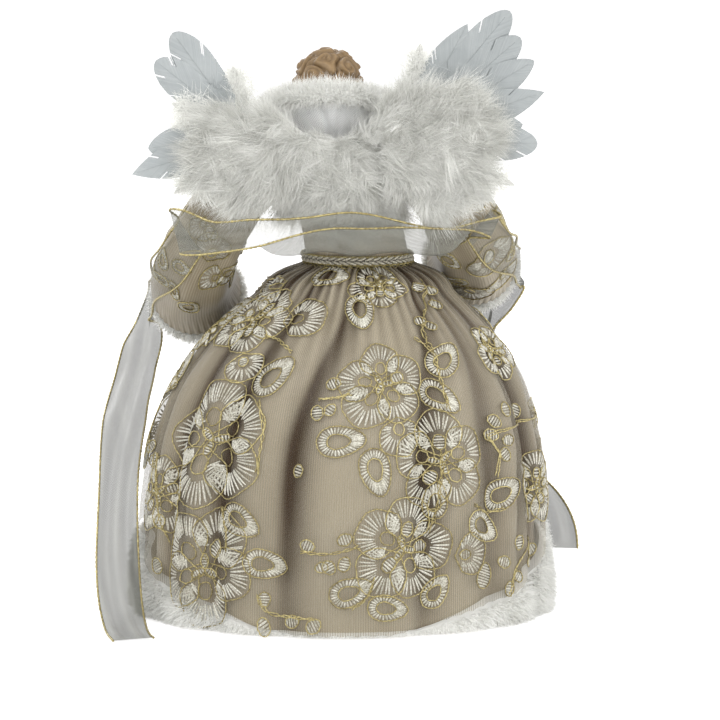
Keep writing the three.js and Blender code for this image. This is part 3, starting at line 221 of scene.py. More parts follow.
@dataclass
class Sculpt:
    """A piece while it is being made: its points, its faces, and a tone for each point."""

    points: list[Array] = field(default_factory=list)
    faces: list[Array] = field(default_factory=list)
    corners: list[Array] = field(default_factory=list)
    tones: list[Array] = field(default_factory=list)
    count: int = 0

    def add(self, points: Array, faces: Sequence[Array], tone: Array | float = 0.5,
            corners: Sequence[Array] | None = None) -> None:
        """Adds points and the faces between them.

        Args:
            points: The new points.
            faces: Groups of faces with the same number of corners.
            tone: How light the finish is, for each point or for all.
            corners: The cloth coordinates of each face's corners, in millimetres.
        """
        for index, group in enumerate(faces):
            self.faces.append(group + self.count)
            flat = np.zeros((*group.shape, 2)) if corners is None else corners[index]
            self.corners.append(flat)
        self.points.append(points)
        self.tones.append(np.broadcast_to(np.asarray(tone, float), len(points)))
        self.count += len(points)

    def sheet(self, grid: Array, flat: Array | None = None, around: bool = False,
              tone: Array | float = 0.5) -> None:
        """Adds a surface through a grid of points.

        Args:
            grid: The points, as rows by columns by three.
            flat: The cloth coordinates of each point, in millimetres.
            around: Whether the last column joins the first.
            tone: The tone of each point or of all.
        """
        rows, columns = grid.shape[:2]
        faces = quads(rows, columns, around)
        corners = None
        if flat is not None:
            place = flat.reshape(-1, 2)[faces]
            if around:
                pitch = flat[0, 1, 0] - flat[0, 0, 0]
                wrapped = faces % columns < faces[:, :1] % columns
                place[..., 0] += wrapped * pitch * columns
            corners = [place]
        shade = tone.reshape(-1) if isinstance(tone, np.ndarray) else tone
        self.add(grid.reshape(-1, 3), [faces], shade, corners)

    def tube(self, path: Array, radii: Array | float, sides: int = 6, up: Array | None = None,
             closed: bool = False, tone: Array | float = 0.5) -> None:
        """Adds a round tube along a path.

        Args:
            path: The points of its middle line.
            radii: Its radius at each point, or all along.
            sides: How many sides it has.
            up: A direction for each point that the section is set by, or None.
            closed: Whether the end joins the start.
            tone: The tone of each point of the path, or of all.
        """
        if up is None:
            first = UP if abs(unit(path[1] - path[0])[2]) < 0.9 else np.array([1.0, 0, 0])
            _, ups, acrosses = transported(path, first)
        else:
            tangents = unit(np.gradient(path, axis=0))
            acrosses = unit(np.cross(tangents, up))
            ups = np.cross(acrosses, tangents)
        turn = FULL_TURN * np.arange(sides) / sides
        ring = np.cos(turn)[:, None] * acrosses[:, None] + np.sin(turn)[:, None] * ups[:, None]
        radius = np.broadcast_to(np.asarray(radii, float), len(path))
        grid = path[:, None] + ring * radius[:, None, None]
        shade = np.repeat(np.broadcast_to(np.asarray(tone, float), len(path)), sides)
        faces = quads(len(path), sides, True)
        column = np.arange(sides)
        after = (column + 1) % sides
        last = (len(path) - 1) * sides
        if closed:
            join = np.stack([last + column, last + after, after, column], 1)
            self.add(grid.reshape(-1, 3), [np.concatenate([faces, join])], shade)
            return
        ends = np.concatenate([grid.reshape(-1, 3), path[:1], path[-1:]])
        hub = len(path) * sides
        caps = np.concatenate([
            np.stack([after, column, np.full(sides, hub)], 1),
            np.stack([last + column, last + after, np.full(sides, hub + 1)], 1),
        ])
        self.add(ends, [faces, caps], np.concatenate([shade, shade[:1], shade[-1:]]))

    def strands(self, roots: Array, headings: Array, bends: Array, width: float | Array,
                facing: Array, levels: int = 3, tone: Array | float = 0.5,
                taper: float = 0.7) -> None:
        """Adds fine tapered strands.

        Args:
            roots: Where each strand starts.
            headings: Each strand's first direction, as long as the strand.
            bends: How far each tip is bent from that direction.
            width: The strands' width at the root.
            facing: The direction that each strand's flat side faces.
            levels: How many stretches a strand has.
            tone: The tone of each strand, or of all.
            taper: How soon the width falls off towards the tip.
        """
        share = np.linspace(0, 1, levels + 1)
        spine = roots[:, None] + headings[:, None] * share[:, None]
        spine = spine + bends[:, None] * (share ** 2)[:, None]
        side = unit(np.cross(np.gradient(spine, axis=1), facing[:, None]))
        half = np.broadcast_to(np.asarray(width, float), len(roots))[:, None, None] / 2
        half = half * ((1 - share) ** taper)[:, None]
        left = (spine - side * half)[:, :levels]
        right = (spine + side * half)[:, :levels]
        size = 2 * levels + 1
        points = np.concatenate([left, right, spine[:, levels:]], 1).reshape(-1, 3)
        base = (np.arange(len(roots)) * size)[:, None, None]
        step = np.arange(levels - 1)
        body = np.stack([step, step + 1, levels + step + 1, levels + step], 1)
        tip = np.array([[levels - 1, 2 * levels, 2 * levels - 1]])
        shade = np.repeat(np.broadcast_to(np.asarray(tone, float), len(roots)), size)
        faces = [(base + body).reshape(-1, 4), (base + tip).reshape(-1, 3)]
        self.add(points, faces, shade)

    def build(self, name: str, finish: "Finish") -> Piece:
        """Makes the piece as a Blender object, in metres.

        Args:
            name: The object's name.
            finish: What it is made of.

        Returns:
            The object, with its finish on.
        """
        mesh = bpy.data.meshes.new(name)
        points = np.concatenate(self.points) * MM
        sizes = np.concatenate([np.full(len(f), f.shape[1]) for f in self.faces])
        loops = np.concatenate([f.ravel() for f in self.faces])
        mesh.vertices.add(len(points))
        mesh.vertices.foreach_set("co", points.ravel())
        mesh.loops.add(len(loops))
        mesh.loops.foreach_set("vertex_index", loops.astype(np.int32))
        mesh.polygons.add(len(sizes))
        starts = np.concatenate([[0], np.cumsum(sizes)[:-1]])
        mesh.polygons.foreach_set("loop_start", starts.astype(np.int32))
        mesh.polygons.foreach_set("use_smooth", np.ones(len(sizes), bool))
        flat = mesh.uv_layers.new(name="cloth")
        corners = np.concatenate([c.reshape(-1, 2) for c in self.corners])
        flat.data.foreach_set("uv", corners.ravel())
        tone = mesh.attributes.new("tone", "FLOAT", "POINT")
        tone.data.foreach_set("value", np.concatenate(self.tones).astype(np.float32))
        mesh.update(calc_edges=True)
        mesh.validate()
        mesh.materials.append(material_of(finish))
        LOG.info("%s: %d points, %d faces", name, len(points), len(sizes))
        return linked(name, mesh)


class Shader:
    """The nodes of a material or a world while they are being made."""

    def __init__(self, owner: bpy.types.Material | bpy.types.World) -> None:
        """Empties the nodes of the material or world."""
        self.owner = owner
        owner.use_nodes = True
        self.tree = owner.node_tree
        self.tree.nodes.clear()

    def node(self, kind: str, inputs: dict[str | int, object] | None = None,
             **settings: object) -> bpy.types.Node:
        """Adds a node.

        Args:
            kind: The node's kind, without the words ShaderNode.
            inputs: Values or sockets, by the names of the node's inputs.
            **settings: The node's own settings.

        Returns:
            The node.
        """
        made = self.tree.nodes.new("ShaderNode" + kind)
        for key, value in settings.items():
            setattr(made, key, value)
        for key, value in (inputs or {}).items():
            if isinstance(value, Socket):
                self.tree.links.new(value, made.inputs[key])
            else:
                made.inputs[key].default_value = value
        return made

    def math(self, operation: str, *values: object) -> Socket:
        """The result of a sum on numbers or sockets."""
        return self.node("Math", dict(enumerate(values)), operation=operation).outputs[0]

    def tone(self) -> Socket:
        """The tone that each point of the piece carries."""
        return self.node("Attribute", attribute_name="tone").outputs["Fac"]

    def cloth(self) -> tuple[Socket, Socket]:
        """The two cloth coordinates, in millimetres."""
        flat = self.node("UVMap", uv_map="cloth").outputs["UV"]
        parts = self.node("SeparateXYZ", {"Vector": flat}).outputs
        return parts[0], parts[1]

    def ribs(self, along: Socket, pitch: float) -> Socket:
        """A wave from 0 to 1 along a coordinate, with the given pitch."""
        turn = self.math("MULTIPLY", along, FULL_TURN / pitch)
        return self.math("MULTIPLY_ADD", self.math("SINE", turn), 0.5, 0.5)

    def noise(self, size: float, detail: float = 3.0) -> Socket:
        """Cloudy noise from 0 to 1, whose largest spots have the given size."""
        inputs = {"Vector": self.node("TexCoord").outputs["Object"], "Scale": 1 / (size * MM)}
        return self.node("TexNoise", {**inputs, "Detail": detail}).outputs["Fac"]

    def between(self, share: object, low: object, high: object) -> Socket:
        """The colour at a share of the way from low to high."""
        return self.node("Mix", {0: share, 6: low, 7: high}, data_type="RGBA").outputs[2]

    def spotted(self, finish: "Finish", size: float, detail: float) -> Socket:
        """A finish's colour by each point's tone, made uneven by cloudy spots.

        Args:
            finish: What holds the light and the dark colour.
            size: The width of the largest spots.
            detail: How many finer layers the spots have.

        Returns:
            The colour.
        """
        spots = self.math("MULTIPLY_ADD", self.noise(size, detail), 0.5, -0.25)
        share = self.math("MAXIMUM", self.math("ADD", self.tone(), spots), 0.0)
        share = self.math("MINIMUM", share, 1.0)
        return self.between(share, paint(*finish.dark), paint(*finish.light))

    def bump(self, height: Socket, depth: float) -> Socket:
        """The normal of a surface with fine relief of a height from 0 to 1 and a depth."""
        return self.node("Bump", {"Height": height, "Distance": depth * MM}).outputs[0]

    def surface(self, inputs: dict[str, object]) -> Socket:
        """A plain surface shader with the inputs given."""
        return self.node("BsdfPrincipled", inputs).outputs[0]

    def seen(self) -> Socket:
        """One for rays from the camera, through clear things and off glossy ones."""
        path = self.node("LightPath").outputs
        either = self.math("MAXIMUM", path["Is Camera Ray"], path["Is Transmission Ray"])
        return self.math("MAXIMUM", either, path["Is Glossy Ray"])

    def done(self, shader: Socket, output: str = "OutputMaterial") -> bpy.types.ID:
        """Ends the nodes with an output of the kind given, and gives back their owner."""
        self.node(output, {"Surface": shader})
        return self.owner


class Weave(Enum):
    """How the threads of a cloth lie."""

    RIBBED = "ribbed"
    NET = "net"
    CHEVRON = "chevron"


@dataclass(frozen=True)
class Finish:
    """What a piece is made of."""

    name: str
    light: tuple[int, int, int] = (220, 220, 220)
    dark: tuple[int, int, int] = (150, 150, 150)

    def shader(self) -> bpy.types.Material:
        """The finish as a node material."""
        raise NotImplementedError


@functools.lru_cache(maxsize=None)
def material_of(finish: Finish) -> bpy.types.Material:
    """The material of a finish, made once."""
    return finish.shader()


@dataclass(frozen=True)
class Cloth(Finish):
    """Woven cloth. Its cover is below 1 where light passes between its threads."""

    # deep is the colour that low tone leans to: painted shade in the skirt's fold valleys and
    # gathers and in the bodice's creases; the ribbons' streaks lean to it too
    deep: tuple[int, int, int] = (150, 140, 120)
    weave: Weave = Weave.RIBBED
    pitch: float = 1.36
    roughness: float = 0.45
    sheen: float = 0.3
    relief: float = 0.12
    cover: float = 1.0
    open_cover: float = 1.0

    def threads(self, make: Shader) -> Socket:
        """The height of the threads, from 0 to 1."""
        across, along = make.cloth()
        if self.weave is Weave.RIBBED:
            fine = make.ribs(along, self.pitch / 2)
            return make.math("MULTIPLY_ADD", fine, 0.25, make.math(
                "MULTIPLY", make.ribs(across, self.pitch), 0.75))
        if self.weave is Weave.NET:
            rising = make.ribs(make.math("ADD", across, along), self.pitch)
            falling = make.ribs(make.math("SUBTRACT", across, along), self.pitch)
            return make.math("MAXIMUM", rising, falling)
        fold = make.math("PINGPONG", across, self.pitch * 4)
        return make.ribs(make.math("ADD", fold, along), self.pitch)

    def shader(self) -> bpy.types.Material:
        """The cloth as a node material."""
        make = Shader(bpy.data.materials.new(self.name))
        threads = self.threads(make)
        clouds = make.math("MULTIPLY", make.noise(22, 4), 0.45)
        shade = make.math("MULTIPLY_ADD", threads, 0.55, clouds)
        color = make.between(shade, paint(*self.dark), paint(*self.light))
        # Low tone leans to the deep colour, which paints shade where a piece's tone is low
        color = make.between(make.tone(), paint(*self.deep), color)
        height = make.math("MULTIPLY_ADD", make.noise(3, 3), 0.35, threads)
        cloth = make.surface({
            "Base Color": color, "Roughness": self.roughness, "Sheen Weight": self.sheen,
            "Sheen Roughness": 0.4, "Normal": make.bump(height, self.relief)})
        if self.cover >= 1:
            return make.done(cloth)
        clear = make.node("BsdfTransparent").outputs[0]
        cover = make.math("MULTIPLY_ADD", threads, self.cover - self.open_cover, self.open_cover)
        return make.done(make.node("MixShader", {0: cover, 1: clear, 2: cloth}).outputs[0])


@dataclass(frozen=True)
class Fluff(Finish):
    """Plush, down or feather: pale strands that let some light through."""

    glow: float = 0.3
    gloss: float = 0.75
    sheen: float = 0.2

    def shader(self) -> bpy.types.Material:
        """The strands as a node material."""
        make = Shader(bpy.data.materials.new(self.name))
        color = make.spotted(self, 9, 2)
        body = make.surface({"Base Color": color, "Roughness": self.gloss,
                             "Sheen Weight": self.sheen, "Specular IOR Level": 0.25})
        lit = make.node("BsdfTranslucent", {"Color": color}).outputs[0]
        return make.done(make.node("MixShader", {0: self.glow, 1: body, 2: lit}).outputs[0])


@dataclass(frozen=True)
class Thread(Finish):
    """Twisted thread or cord, metallic or plain."""

    metal: float = 0.0
    roughness: float = 0.4
    twist: float = 1.1
    sheen: float = 0.0

    def shader(self) -> bpy.types.Material:
        """The thread as a node material."""
        make = Shader(bpy.data.materials.new(self.name))
        fine = make.noise(self.twist, 2)
        specks = make.node("MapRange", {"Value": fine, "From Min": 0.35, "From Max": 0.65})
        tone = make.math("MULTIPLY", make.tone(), 0.45)
        share = make.math("MULTIPLY_ADD", specks.outputs[0], 0.55, tone)
        return make.done(make.surface({
            "Base Color": make.between(share, paint(*self.dark), paint(*self.light)),
            "Metallic": self.metal, "Roughness": self.roughness, "Sheen Weight": self.sheen,
            "Normal": make.bump(make.noise(self.twist / 2, 2), 0.15)}))


@dataclass(frozen=True)
class Resin(Finish):
    """Moulded resin or plastic, darker where its points' tone is low; on the hair the tone paints
    shade in its grooves.
    """

    roughness: float = 0.5
    grain: float = 2.0
    relief: float = 0.08
    metal: float = 0.0
    painted: bool = False

    def shader(self) -> bpy.types.Material:
        """The resin as a node material."""
        make = Shader(bpy.data.materials.new(self.name))
        color = make.spotted(self, self.grain, 4)
        if self.painted:
            drawn = make.node("Attribute", attribute_name="drawn").outputs["Color"]
            cover = make.node("Attribute", attribute_name="cover").outputs["Fac"]
            color = make.between(cover, color, drawn)
        return make.done(make.surface({
            "Base Color": color, "Roughness": self.roughness, "Metallic": self.metal,
            "Normal": make.bump(make.noise(self.grain / 3, 3), self.relief)}))


# The deep colours of the satin, tulle and bodice are painted shade for the skirt's folds and
# gathers and the bodice's creases
SATIN = Cloth("satin", (198, 187, 165), (158, 144, 117), (60, 40, 10), relief=0.1,
              roughness=0.34, sheen=0.4)
SLEEVE_SATIN = Cloth("sleeve_satin", (188, 178, 156), (136, 122, 97), (112, 96, 66),
                     relief=0.14, roughness=0.5)
TULLE = Cloth("tulle", (192, 185, 167), (140, 129, 104), (58, 40, 12), roughness=0.7, sheen=0.1,
              cover=0.55, open_cover=0.26)
BODICE_SATIN = Cloth("bodice_satin", (216, 203, 180), (160, 142, 112), (140, 122, 90),
                     relief=0.12)
WOVEN = Cloth("woven_white", (255, 255, 255), (228, 230, 228), (214, 216, 212),
              weave=Weave.CHEVRON, pitch=1.5, relief=0.3, roughness=0.35)
ORGANZA = Cloth("organza", (158, 158, 149), (116, 116, 106), (108, 108, 96), weave=Weave.NET,
                pitch=0.9, roughness=0.45, sheen=0.0, cover=0.34, open_cover=0.12, relief=0.05)
ORGANZA_FOLDED = replace(ORGANZA, name="organza_folded", deep=(96, 96, 86), cover=0.58,
                         open_cover=0.32)
ORGANZA_LAYERS = replace(ORGANZA, name="organza_layers", light=(128, 129, 120),
                         dark=(80, 80, 71), deep=(44, 44, 37), cover=0.84, open_cover=0.62)
PLUSH = Fluff("plush", (255, 255, 253), (222, 222, 217), glow=0.3)
FEATHER = Fluff("feather", (184, 188, 188), (148, 154, 156), glow=0.06, gloss=0.65)
DOWN = Fluff("down", (246, 246, 242), (166, 166, 158), glow=0.24)
STITCH = Thread("stitch", (240, 238, 226), (124, 115, 88), roughness=0.3, twist=0.8, sheen=0.4)
BRAID_THREAD = Thread("braid_thread", (222, 216, 196), (62, 52, 32), twist=0.8, sheen=0.3)
GOLD = Thread("gold_cord", (210, 196, 140), (84, 70, 32), metal=0.6, roughness=0.36)
# The hair's dark colour is painted shade in its grooves, set by the tone that Head.hair gives
HAIR = Resin("hair_resin", (148, 122, 86), (80, 60, 36), roughness=0.55)
SKIN = Resin("skin_resin", (238, 206, 184), (214, 172, 148), roughness=0.4, relief=0.01,
             painted=True)
HAND_SKIN = replace(SKIN, name="hand_resin", painted=False)
CARD = Resin("card", (238, 236, 228), (206, 203, 194), roughness=0.85, grain=1.2)
HOOP = Resin("hoop_plastic", (232, 228, 216), (206, 200, 186), roughness=0.5)
FOAM = Resin("foam", (236, 232, 222), (204, 198, 184), roughness=0.9, grain=1.6, relief=0.2)
WIRE = Resin("steel_wire", (176, 178, 180), (120, 122, 124), roughness=0.3, metal=1.0)
DOWEL = Resin("dowel_wood", (208, 174, 124), (160, 122, 76), roughness=0.7, grain=3.0)
WADDING = Fluff("wadding", (236, 232, 222), (200, 194, 182), glow=0.15)


@dataclass
class PhotoView:
    """Where the reference view sees a point: 720 picture columns and rows, seen from +Y."""

    scale: float = 0.545
    middle_column: float = 342.0
    floor_row: float = 607.0
    elevation: float = 8.1
    distance: float = 2600.0
    sensor: float = 36.0
    size: int = 720

    def seen(self, points: Array) -> Array:
        """The column and row of each point.

        Args:
            points: Points in millimetres.

        Returns:
            Column and row, one pair a point.
        """
        tilt = math.radians(self.elevation)
        column = self.middle_column - points[..., 0] / self.scale
        drop = points[..., 1] * math.sin(tilt) - points[..., 2] * math.cos(tilt)
        return np.stack([column, self.floor_row + drop / self.scale], -1)

    def camera(self) -> None:
        """Makes the camera at the reference view's angle."""
        tilt = math.radians(self.elevation)
        middle = self.size / 2
        aim_x = (self.middle_column - middle) * self.scale
        aim_z = (self.floor_row - middle) * self.scale / math.cos(tilt)
        back = Vector((0, math.cos(tilt), math.sin(tilt)))
        data = bpy.data.cameras.new("reference_camera")
        data.sensor_width = self.sensor
        data.lens = self.sensor * self.distance / (self.size * self.scale)
        camera = linked("reference_camera", data)
        camera.location = Vector((aim_x, 0, aim_z)) * MM + back * self.distance * MM
        camera.rotation_euler = (-back).to_track_quat("-Z", "Y").to_euler()
        bpy.context.scene.camera = camera


PHOTO = PhotoView()


class Surface:
    """A surface that needlework can follow, by two coordinates of its own.

    Upward is minus one where the second coordinate runs down the reference view.
    """

    outward: float = 1.0
    upward: float = 1.0
    step: Pair = (0.001, 0.01)
    wide_step: Pair = (0.16, 12.0)
    low: Pair = (0.0, 0.0)
    high: Pair = (1.0, 1.0)

    def at(self, u: Array, v: Array) -> Array:
        """The points at the coordinates."""
        raise NotImplementedError

    def pace(self, place: Pair) -> Array:
        """How far a point moves with each coordinate, on the whole, round a place."""
        u, v = place
        du, dv = self.wide_step
        corners = self.at(np.array([u - du, u + du, u, u]), np.array([v, v, v - dv, v + dv]))
        gaps = np.linalg.norm(corners[1::2] - corners[::2], axis=1)
        return gaps / (2 * np.array([du, dv]))

    def slopes(self, u: Array, v: Array) -> tuple[Array, Array]:
        """How the point moves with each coordinate."""
        du, dv = self.step
        first = (self.at(u + du, v) - self.at(u - du, v)) / (2 * du)
        second = (self.at(u, v + dv) - self.at(u, v - dv)) / (2 * dv)
        return first, second

    def raised(self, u: Array, v: Array, lift: Array | float) -> tuple[Array, Array]:
        """Points above the surface.

        Args:
            u: The first coordinate.
            v: The second coordinate.
            lift: How far above it they are.

        Returns:
            The points and the surface's outward normals there.
        """
        first, second = self.slopes(u, v)
        normal = unit(np.cross(first, second)) * self.outward
        return self.at(u, v) + normal * np.asarray(lift)[..., None], normal

    def found(self, column: float, row: float) -> Pair:
        """The coordinates of the place that the reference view shows at a column and row."""
        u, v = np.meshgrid(np.linspace(self.low[0], self.high[0], 180),
                           np.linspace(self.low[1], self.high[1], 120))
        points, normals = self.raised(u.ravel(), v.ravel(), 0.0)
        away = np.linalg.norm(PHOTO.seen(points) - [column, row], axis=1)
        away = np.where(normals[:, 1] > -0.05, away, 1e6)
        best = int(np.argmin(away))
        return float(u.ravel()[best]), float(v.ravel()[best])


@dataclass
class Needlework:
    """Satin-stitch flowers with gold cord round them, laid on a surface.

    The middle is the place on the surface that local places are counted from.
    """

    surface: Surface
    seed: int
    stitch_pitch: float = 1.75
    stitch_width: float = 1.08
    stitch_height: float = 0.75
    cord_radius: float = 0.34
    cord_lift: float = 0.55
    cord_step: float = 1.0
    petals: int = 5
    petal_half_angle: float = 104.0
    middle: Pair = (0.0, 0.0)
    lanes: list[Array] = field(default_factory=list)
    tones: list[float] = field(default_factory=list)
    cords: list[tuple[Array, bool]] = field(default_factory=list)

    def __post_init__(self) -> None:
        """Seeds the hand's small unevenness."""
        self.random = np.random.default_rng(self.seed)

    def placed(self, local: Array) -> Array:
        """Surface coordinates of places round the middle, in millimetres."""
        return np.asarray(self.middle) + local / self.surface.pace(self.middle)

    def stitch(self, starts: Array, ends: Array, width: float | None = None) -> None:
        """Adds satin stitches.

        Args:
            starts: Where each stitch starts, round the middle.
            ends: Where each stitch ends.
            width: The stitches' width, or None for the usual one.
        """
        share = np.linspace(0, 1, 5)[None, :, None]
        line = starts[:, None] + (ends - starts)[:, None] * share
        run = unit(ends - starts)
        aside = np.stack([-run[:, 1], run[:, 0]], 1)[:, None] * (width or self.stitch_width) / 2
        swell = (0.55 + 0.45 * np.sin(np.pi * share)) * aside
        lanes = np.stack([line - swell, line, line + swell], 2)
        self.lanes.append(self.placed(lanes))
        self.tones.extend(self.random.uniform(0.1, 1.0, len(starts)))

    def cord(self, path: Array, closed: bool = False) -> None:
        """Adds a gold cord along a local path.

        Args:
            path: Places round the middle, in millimetres.
            closed: Whether it ends where it starts.
        """
        ring = np.concatenate([path, path[:1]]) if closed else path
        run = run_along(ring)
        count = max(5, int(run[-1] / self.cord_step))
        wanted = np.linspace(0, run[-1], count, endpoint=not closed)
        fine = np.stack([np.interp(wanted, run, ring[:, axis]) for axis in range(2)], 1)
        fine = fine + self.random.normal(0, 0.14, fine.shape)
        self.cords.append((self.placed(fine), closed))

    def oval(self, centre: Array, turn: float, length: float,
             width: float, hatched: bool = False) -> None:
        """Adds a small corded oval, plain or filled with stitches across.

        Args:
            centre: Where the oval lies round the middle.
            turn: The way that it points.
            length: Its length.
            width: Its width.
            hatched: Whether stitches fill it.
        """
        angle = turns(22)
        along, across = compass(turn)
        shape = np.cos(angle)[:, None] * along * length / 2
        shape = shape + np.sin(angle)[:, None] * across * width / 2
        self.cord(centre + shape, True)
        if hatched:
            count = max(3, int(length / 1.5))
            places = (np.arange(count) + 0.5) / count * 2 - 1
            reach = np.sqrt(1 - places ** 2)[:, None] * across * width * 0.46
            line = centre + places[:, None] * along * length * 0.46
            self.stitch(line - reach, line + reach, 1.0)

    def petal(self, turn: float, reach: float) -> None:
        """Adds one fan petal that points away from the middle.

        Args:
            turn: The way that the petal points.
            reach: How far its edge is from the middle.
        """
        along, _ = compass(turn)
        focus = along * reach * 0.36
        phase = self.random.uniform(0, FULL_TURN)

        def edge(angle: Array) -> Array:
            """How far the petal's edge is from its focus."""
            wave = 1 + 0.035 * np.cos(6 * angle + phase)
            return reach * 0.64 * np.cos(angle * 0.6) ** 0.8 * wave

        def place(angle: Array, radius: Array) -> Array:
            """The local place at an angle and a distance from the focus."""
            way = angle + math.radians(turn)
            return focus + np.stack([np.cos(way), np.sin(way)], 1) * radius[:, None]

        limit = math.radians(self.petal_half_angle)
        count = max(7, int(2 * limit * reach * 0.42 / self.stitch_pitch))
        angle = np.linspace(-limit, limit, count) + self.random.normal(0, 0.02, count)
        inner = edge(angle) * self.random.uniform(0.4, 0.48, count)
        self.stitch(place(angle, inner), place(angle, edge(angle) * 0.95))
        rim = np.linspace(-limit, limit, 30)
        base = along[None] * reach * 0.1
        self.cord(np.concatenate([base, place(rim, edge(rim) * 1.03), base]))
        hatched = bool(self.random.random() < 0.5)
        self.oval(focus + along * reach * 0.02, turn, reach * 0.3, reach * 0.24, hatched)

    def bloom(self, turn: float, reach: float) -> None:
        """Adds a flower.

        Args:
            turn: The way that its first petal points.
            reach: How far its petals reach.
        """
        for index in range(self.petals):
            uneven = self.random.uniform(-6, 6)
            size = reach * self.random.uniform(0.9, 1.06)
            self.petal(turn + 360 / self.petals * index + uneven, size)
        for index in range(3):
            way = turn + 120 * index + 30
            self.oval(compass(way)[0] * reach * 0.13, way, reach * 0.24, reach * 0.12, True)

    def leaf(self, turn: float, length: float, width: float) -> None:
        """Adds a ring-shaped leaf: stitches between an outer and an inner outline.

        Args:
            turn: The way that it points.
            length: Its length.
            width: Its width.
        """
        along, across = compass(turn)

        def rim(angle: Array, share: float, shift: float) -> Array:
            """Places on an outline that is drawn to a point at one end."""
            run = np.cos(angle) * length / 2 * share + shift
            side = np.sin(angle) * (1 - 0.25 * np.cos(angle)) * width / 2 * share
            return run[:, None] * along + side[:, None] * across

        angle = turns(max(12, int(1.45 * (length + width) / self.stitch_pitch)))
        self.stitch(rim(angle, 0.52, -length * 0.05), rim(angle, 0.92, 0))
        self.cord(rim(turns(28), 1.0, 0), True)
        self.cord(rim(turns(28), 0.48, -length * 0.05), True)

    def bud(self, turn: float, size: float) -> None:
        """Adds a small filled oval."""
        self.oval(np.zeros(2), turn, size * 1.25, size, True)

    def stem(self, places: Sequence[Pair], wander: float = 0.6) -> None:
        """Adds a wavy double cord through surface coordinates.

        Args:
            places: The surface coordinates that it passes.
            wander: How far the two cords stray, in millimetres.
        """
        self.middle = places[0]
        local = (np.asarray(places) - self.middle) * self.surface.pace(self.middle)
        if len(local) < 3:
            local = np.stack([local[0], local.mean(0) + self.random.normal(0, 1, 2), local[-1]])
        for side in (-1, 1):
            path = evenly(local, 24)
            run = np.arange(24)
            path = path + side * wander * np.stack([np.sin(run * 0.9), np.cos(run * 0.7)], 1)
            self.cord(path)

    def build(self, name: str) -> tuple[Piece, Piece]:
        """Makes the stitches and the cords.

        Args:
            name: The start of both pieces' names.

        Returns:
            The piece with the stitches and the piece with the cords.
        """
        lanes = np.concatenate(self.lanes)
        count = len(lanes)
        lift = np.array([0.08, self.stitch_height, 0.08]) * np.ones((count, 5, 3))
        lift[:, [0, 4]] *= 0.35
        points, _ = self.surface.raised(lanes[..., 0].ravel(), lanes[..., 1].ravel(),
                                        lift.ravel() + 0.12)
        stitches = Sculpt()
        base = (np.arange(count) * 15)[:, None, None]
        pattern = quads(5, 3)[None]
        shade = np.repeat(np.array(self.tones), 15)
        stitches.add(points, [(base + pattern).reshape(-1, 4)], shade)
        cords = Sculpt()
        for path, closed in self.cords:
            middle, normal = self.surface.raised(path[:, 0], path[:, 1], self.cord_lift)
            beads = self.cord_radius * (1 + 0.2 * np.cos(np.arange(len(middle)) * math.pi))
            cords.tube(middle, beads, 5, normal, closed, self.random.uniform(0.2, 0.8))
        return stitches.build(f"{name}_stitching", STITCH), cords.build(f"{name}_gold_cord", GOLD)


def patches(grid: Array) -> tuple[list[Array], Array]:
    """The corners of a closed surface's faces, and normals twice as long as their areas."""
    points = grid.reshape(-1, 3)
    corners = [points[column] for column in quads(*grid.shape[:2], True).T]
    return corners, np.cross(corners[2] - corners[0], corners[3] - corners[1])


def scattered(grid: Array, count: int, random: Random) -> tuple[Array, Array]:
    """Random places spread evenly over a surface that closes round.

    Args:
        grid: The surface, as rows by columns by three.
        count: How many places come back.
        random: The seeded generator.

    Returns:
        The places and the surface's normals there.
    """
    (corner, first, far, second), normal = patches(grid)
    area = np.linalg.norm(normal, axis=1)
    chosen = random.choice(len(area), count, p=area / area.sum())
    s, t = random.random((2, count, 1))
    low = mix(corner[chosen], first[chosen], s)
    high = mix(second[chosen], far[chosen], s)
    return mix(low, high, t), unit(normal[chosen])


@dataclass(frozen=True)
class Pile:
    """How a plush fabric's pile stands."""

    length: float = 5.0
    density: float = 2.0
    width: float = 0.42
    curl: float = 1.2
    sway: Triple = (0.0, 0.0, 0.0)
    spread: float = 0.4

    def grow(self, sculpt: Sculpt, grid: Array, seed: int, outward: float = 1.0) -> None:
        """Grows strands on a surface that closes round.

        Args:
            sculpt: The piece that gets them.
            grid: The surface, as rows by columns by three.
            seed: The generator's seed.
            outward: Minus one where the grid's normals point in.
        """
        random = np.random.default_rng(seed)
        count = int(np.linalg.norm(patches(grid)[1], axis=1).sum() / 2 * self.density)
        roots, normals = scattered(grid, count, random)
        loose = random.normal(0, self.spread, (count, 3))
        headings = unit(normals * outward + loose + np.asarray(self.sway))
        tuft = np.sin(roots * [0.9, 1.1, 0.8] + [0.3, 1.7, 2.6]).sum(1) / 3
        length = self.length * random.uniform(0.65, 1.15, count) * (1 + 0.14 * tuft)
        bend = random.normal(0, self.curl, (count, 3)) + np.asarray(self.sway) * self.length * 0.5
        facing = unit(random.normal(0, 1, (count, 3)))
        tone = np.clip(0.62 + 0.2 * tuft + random.normal(0, 0.16, count), 0, 1)
        sculpt.strands(roots, headings * length[:, None], bend, self.width, facing, 3, tone)


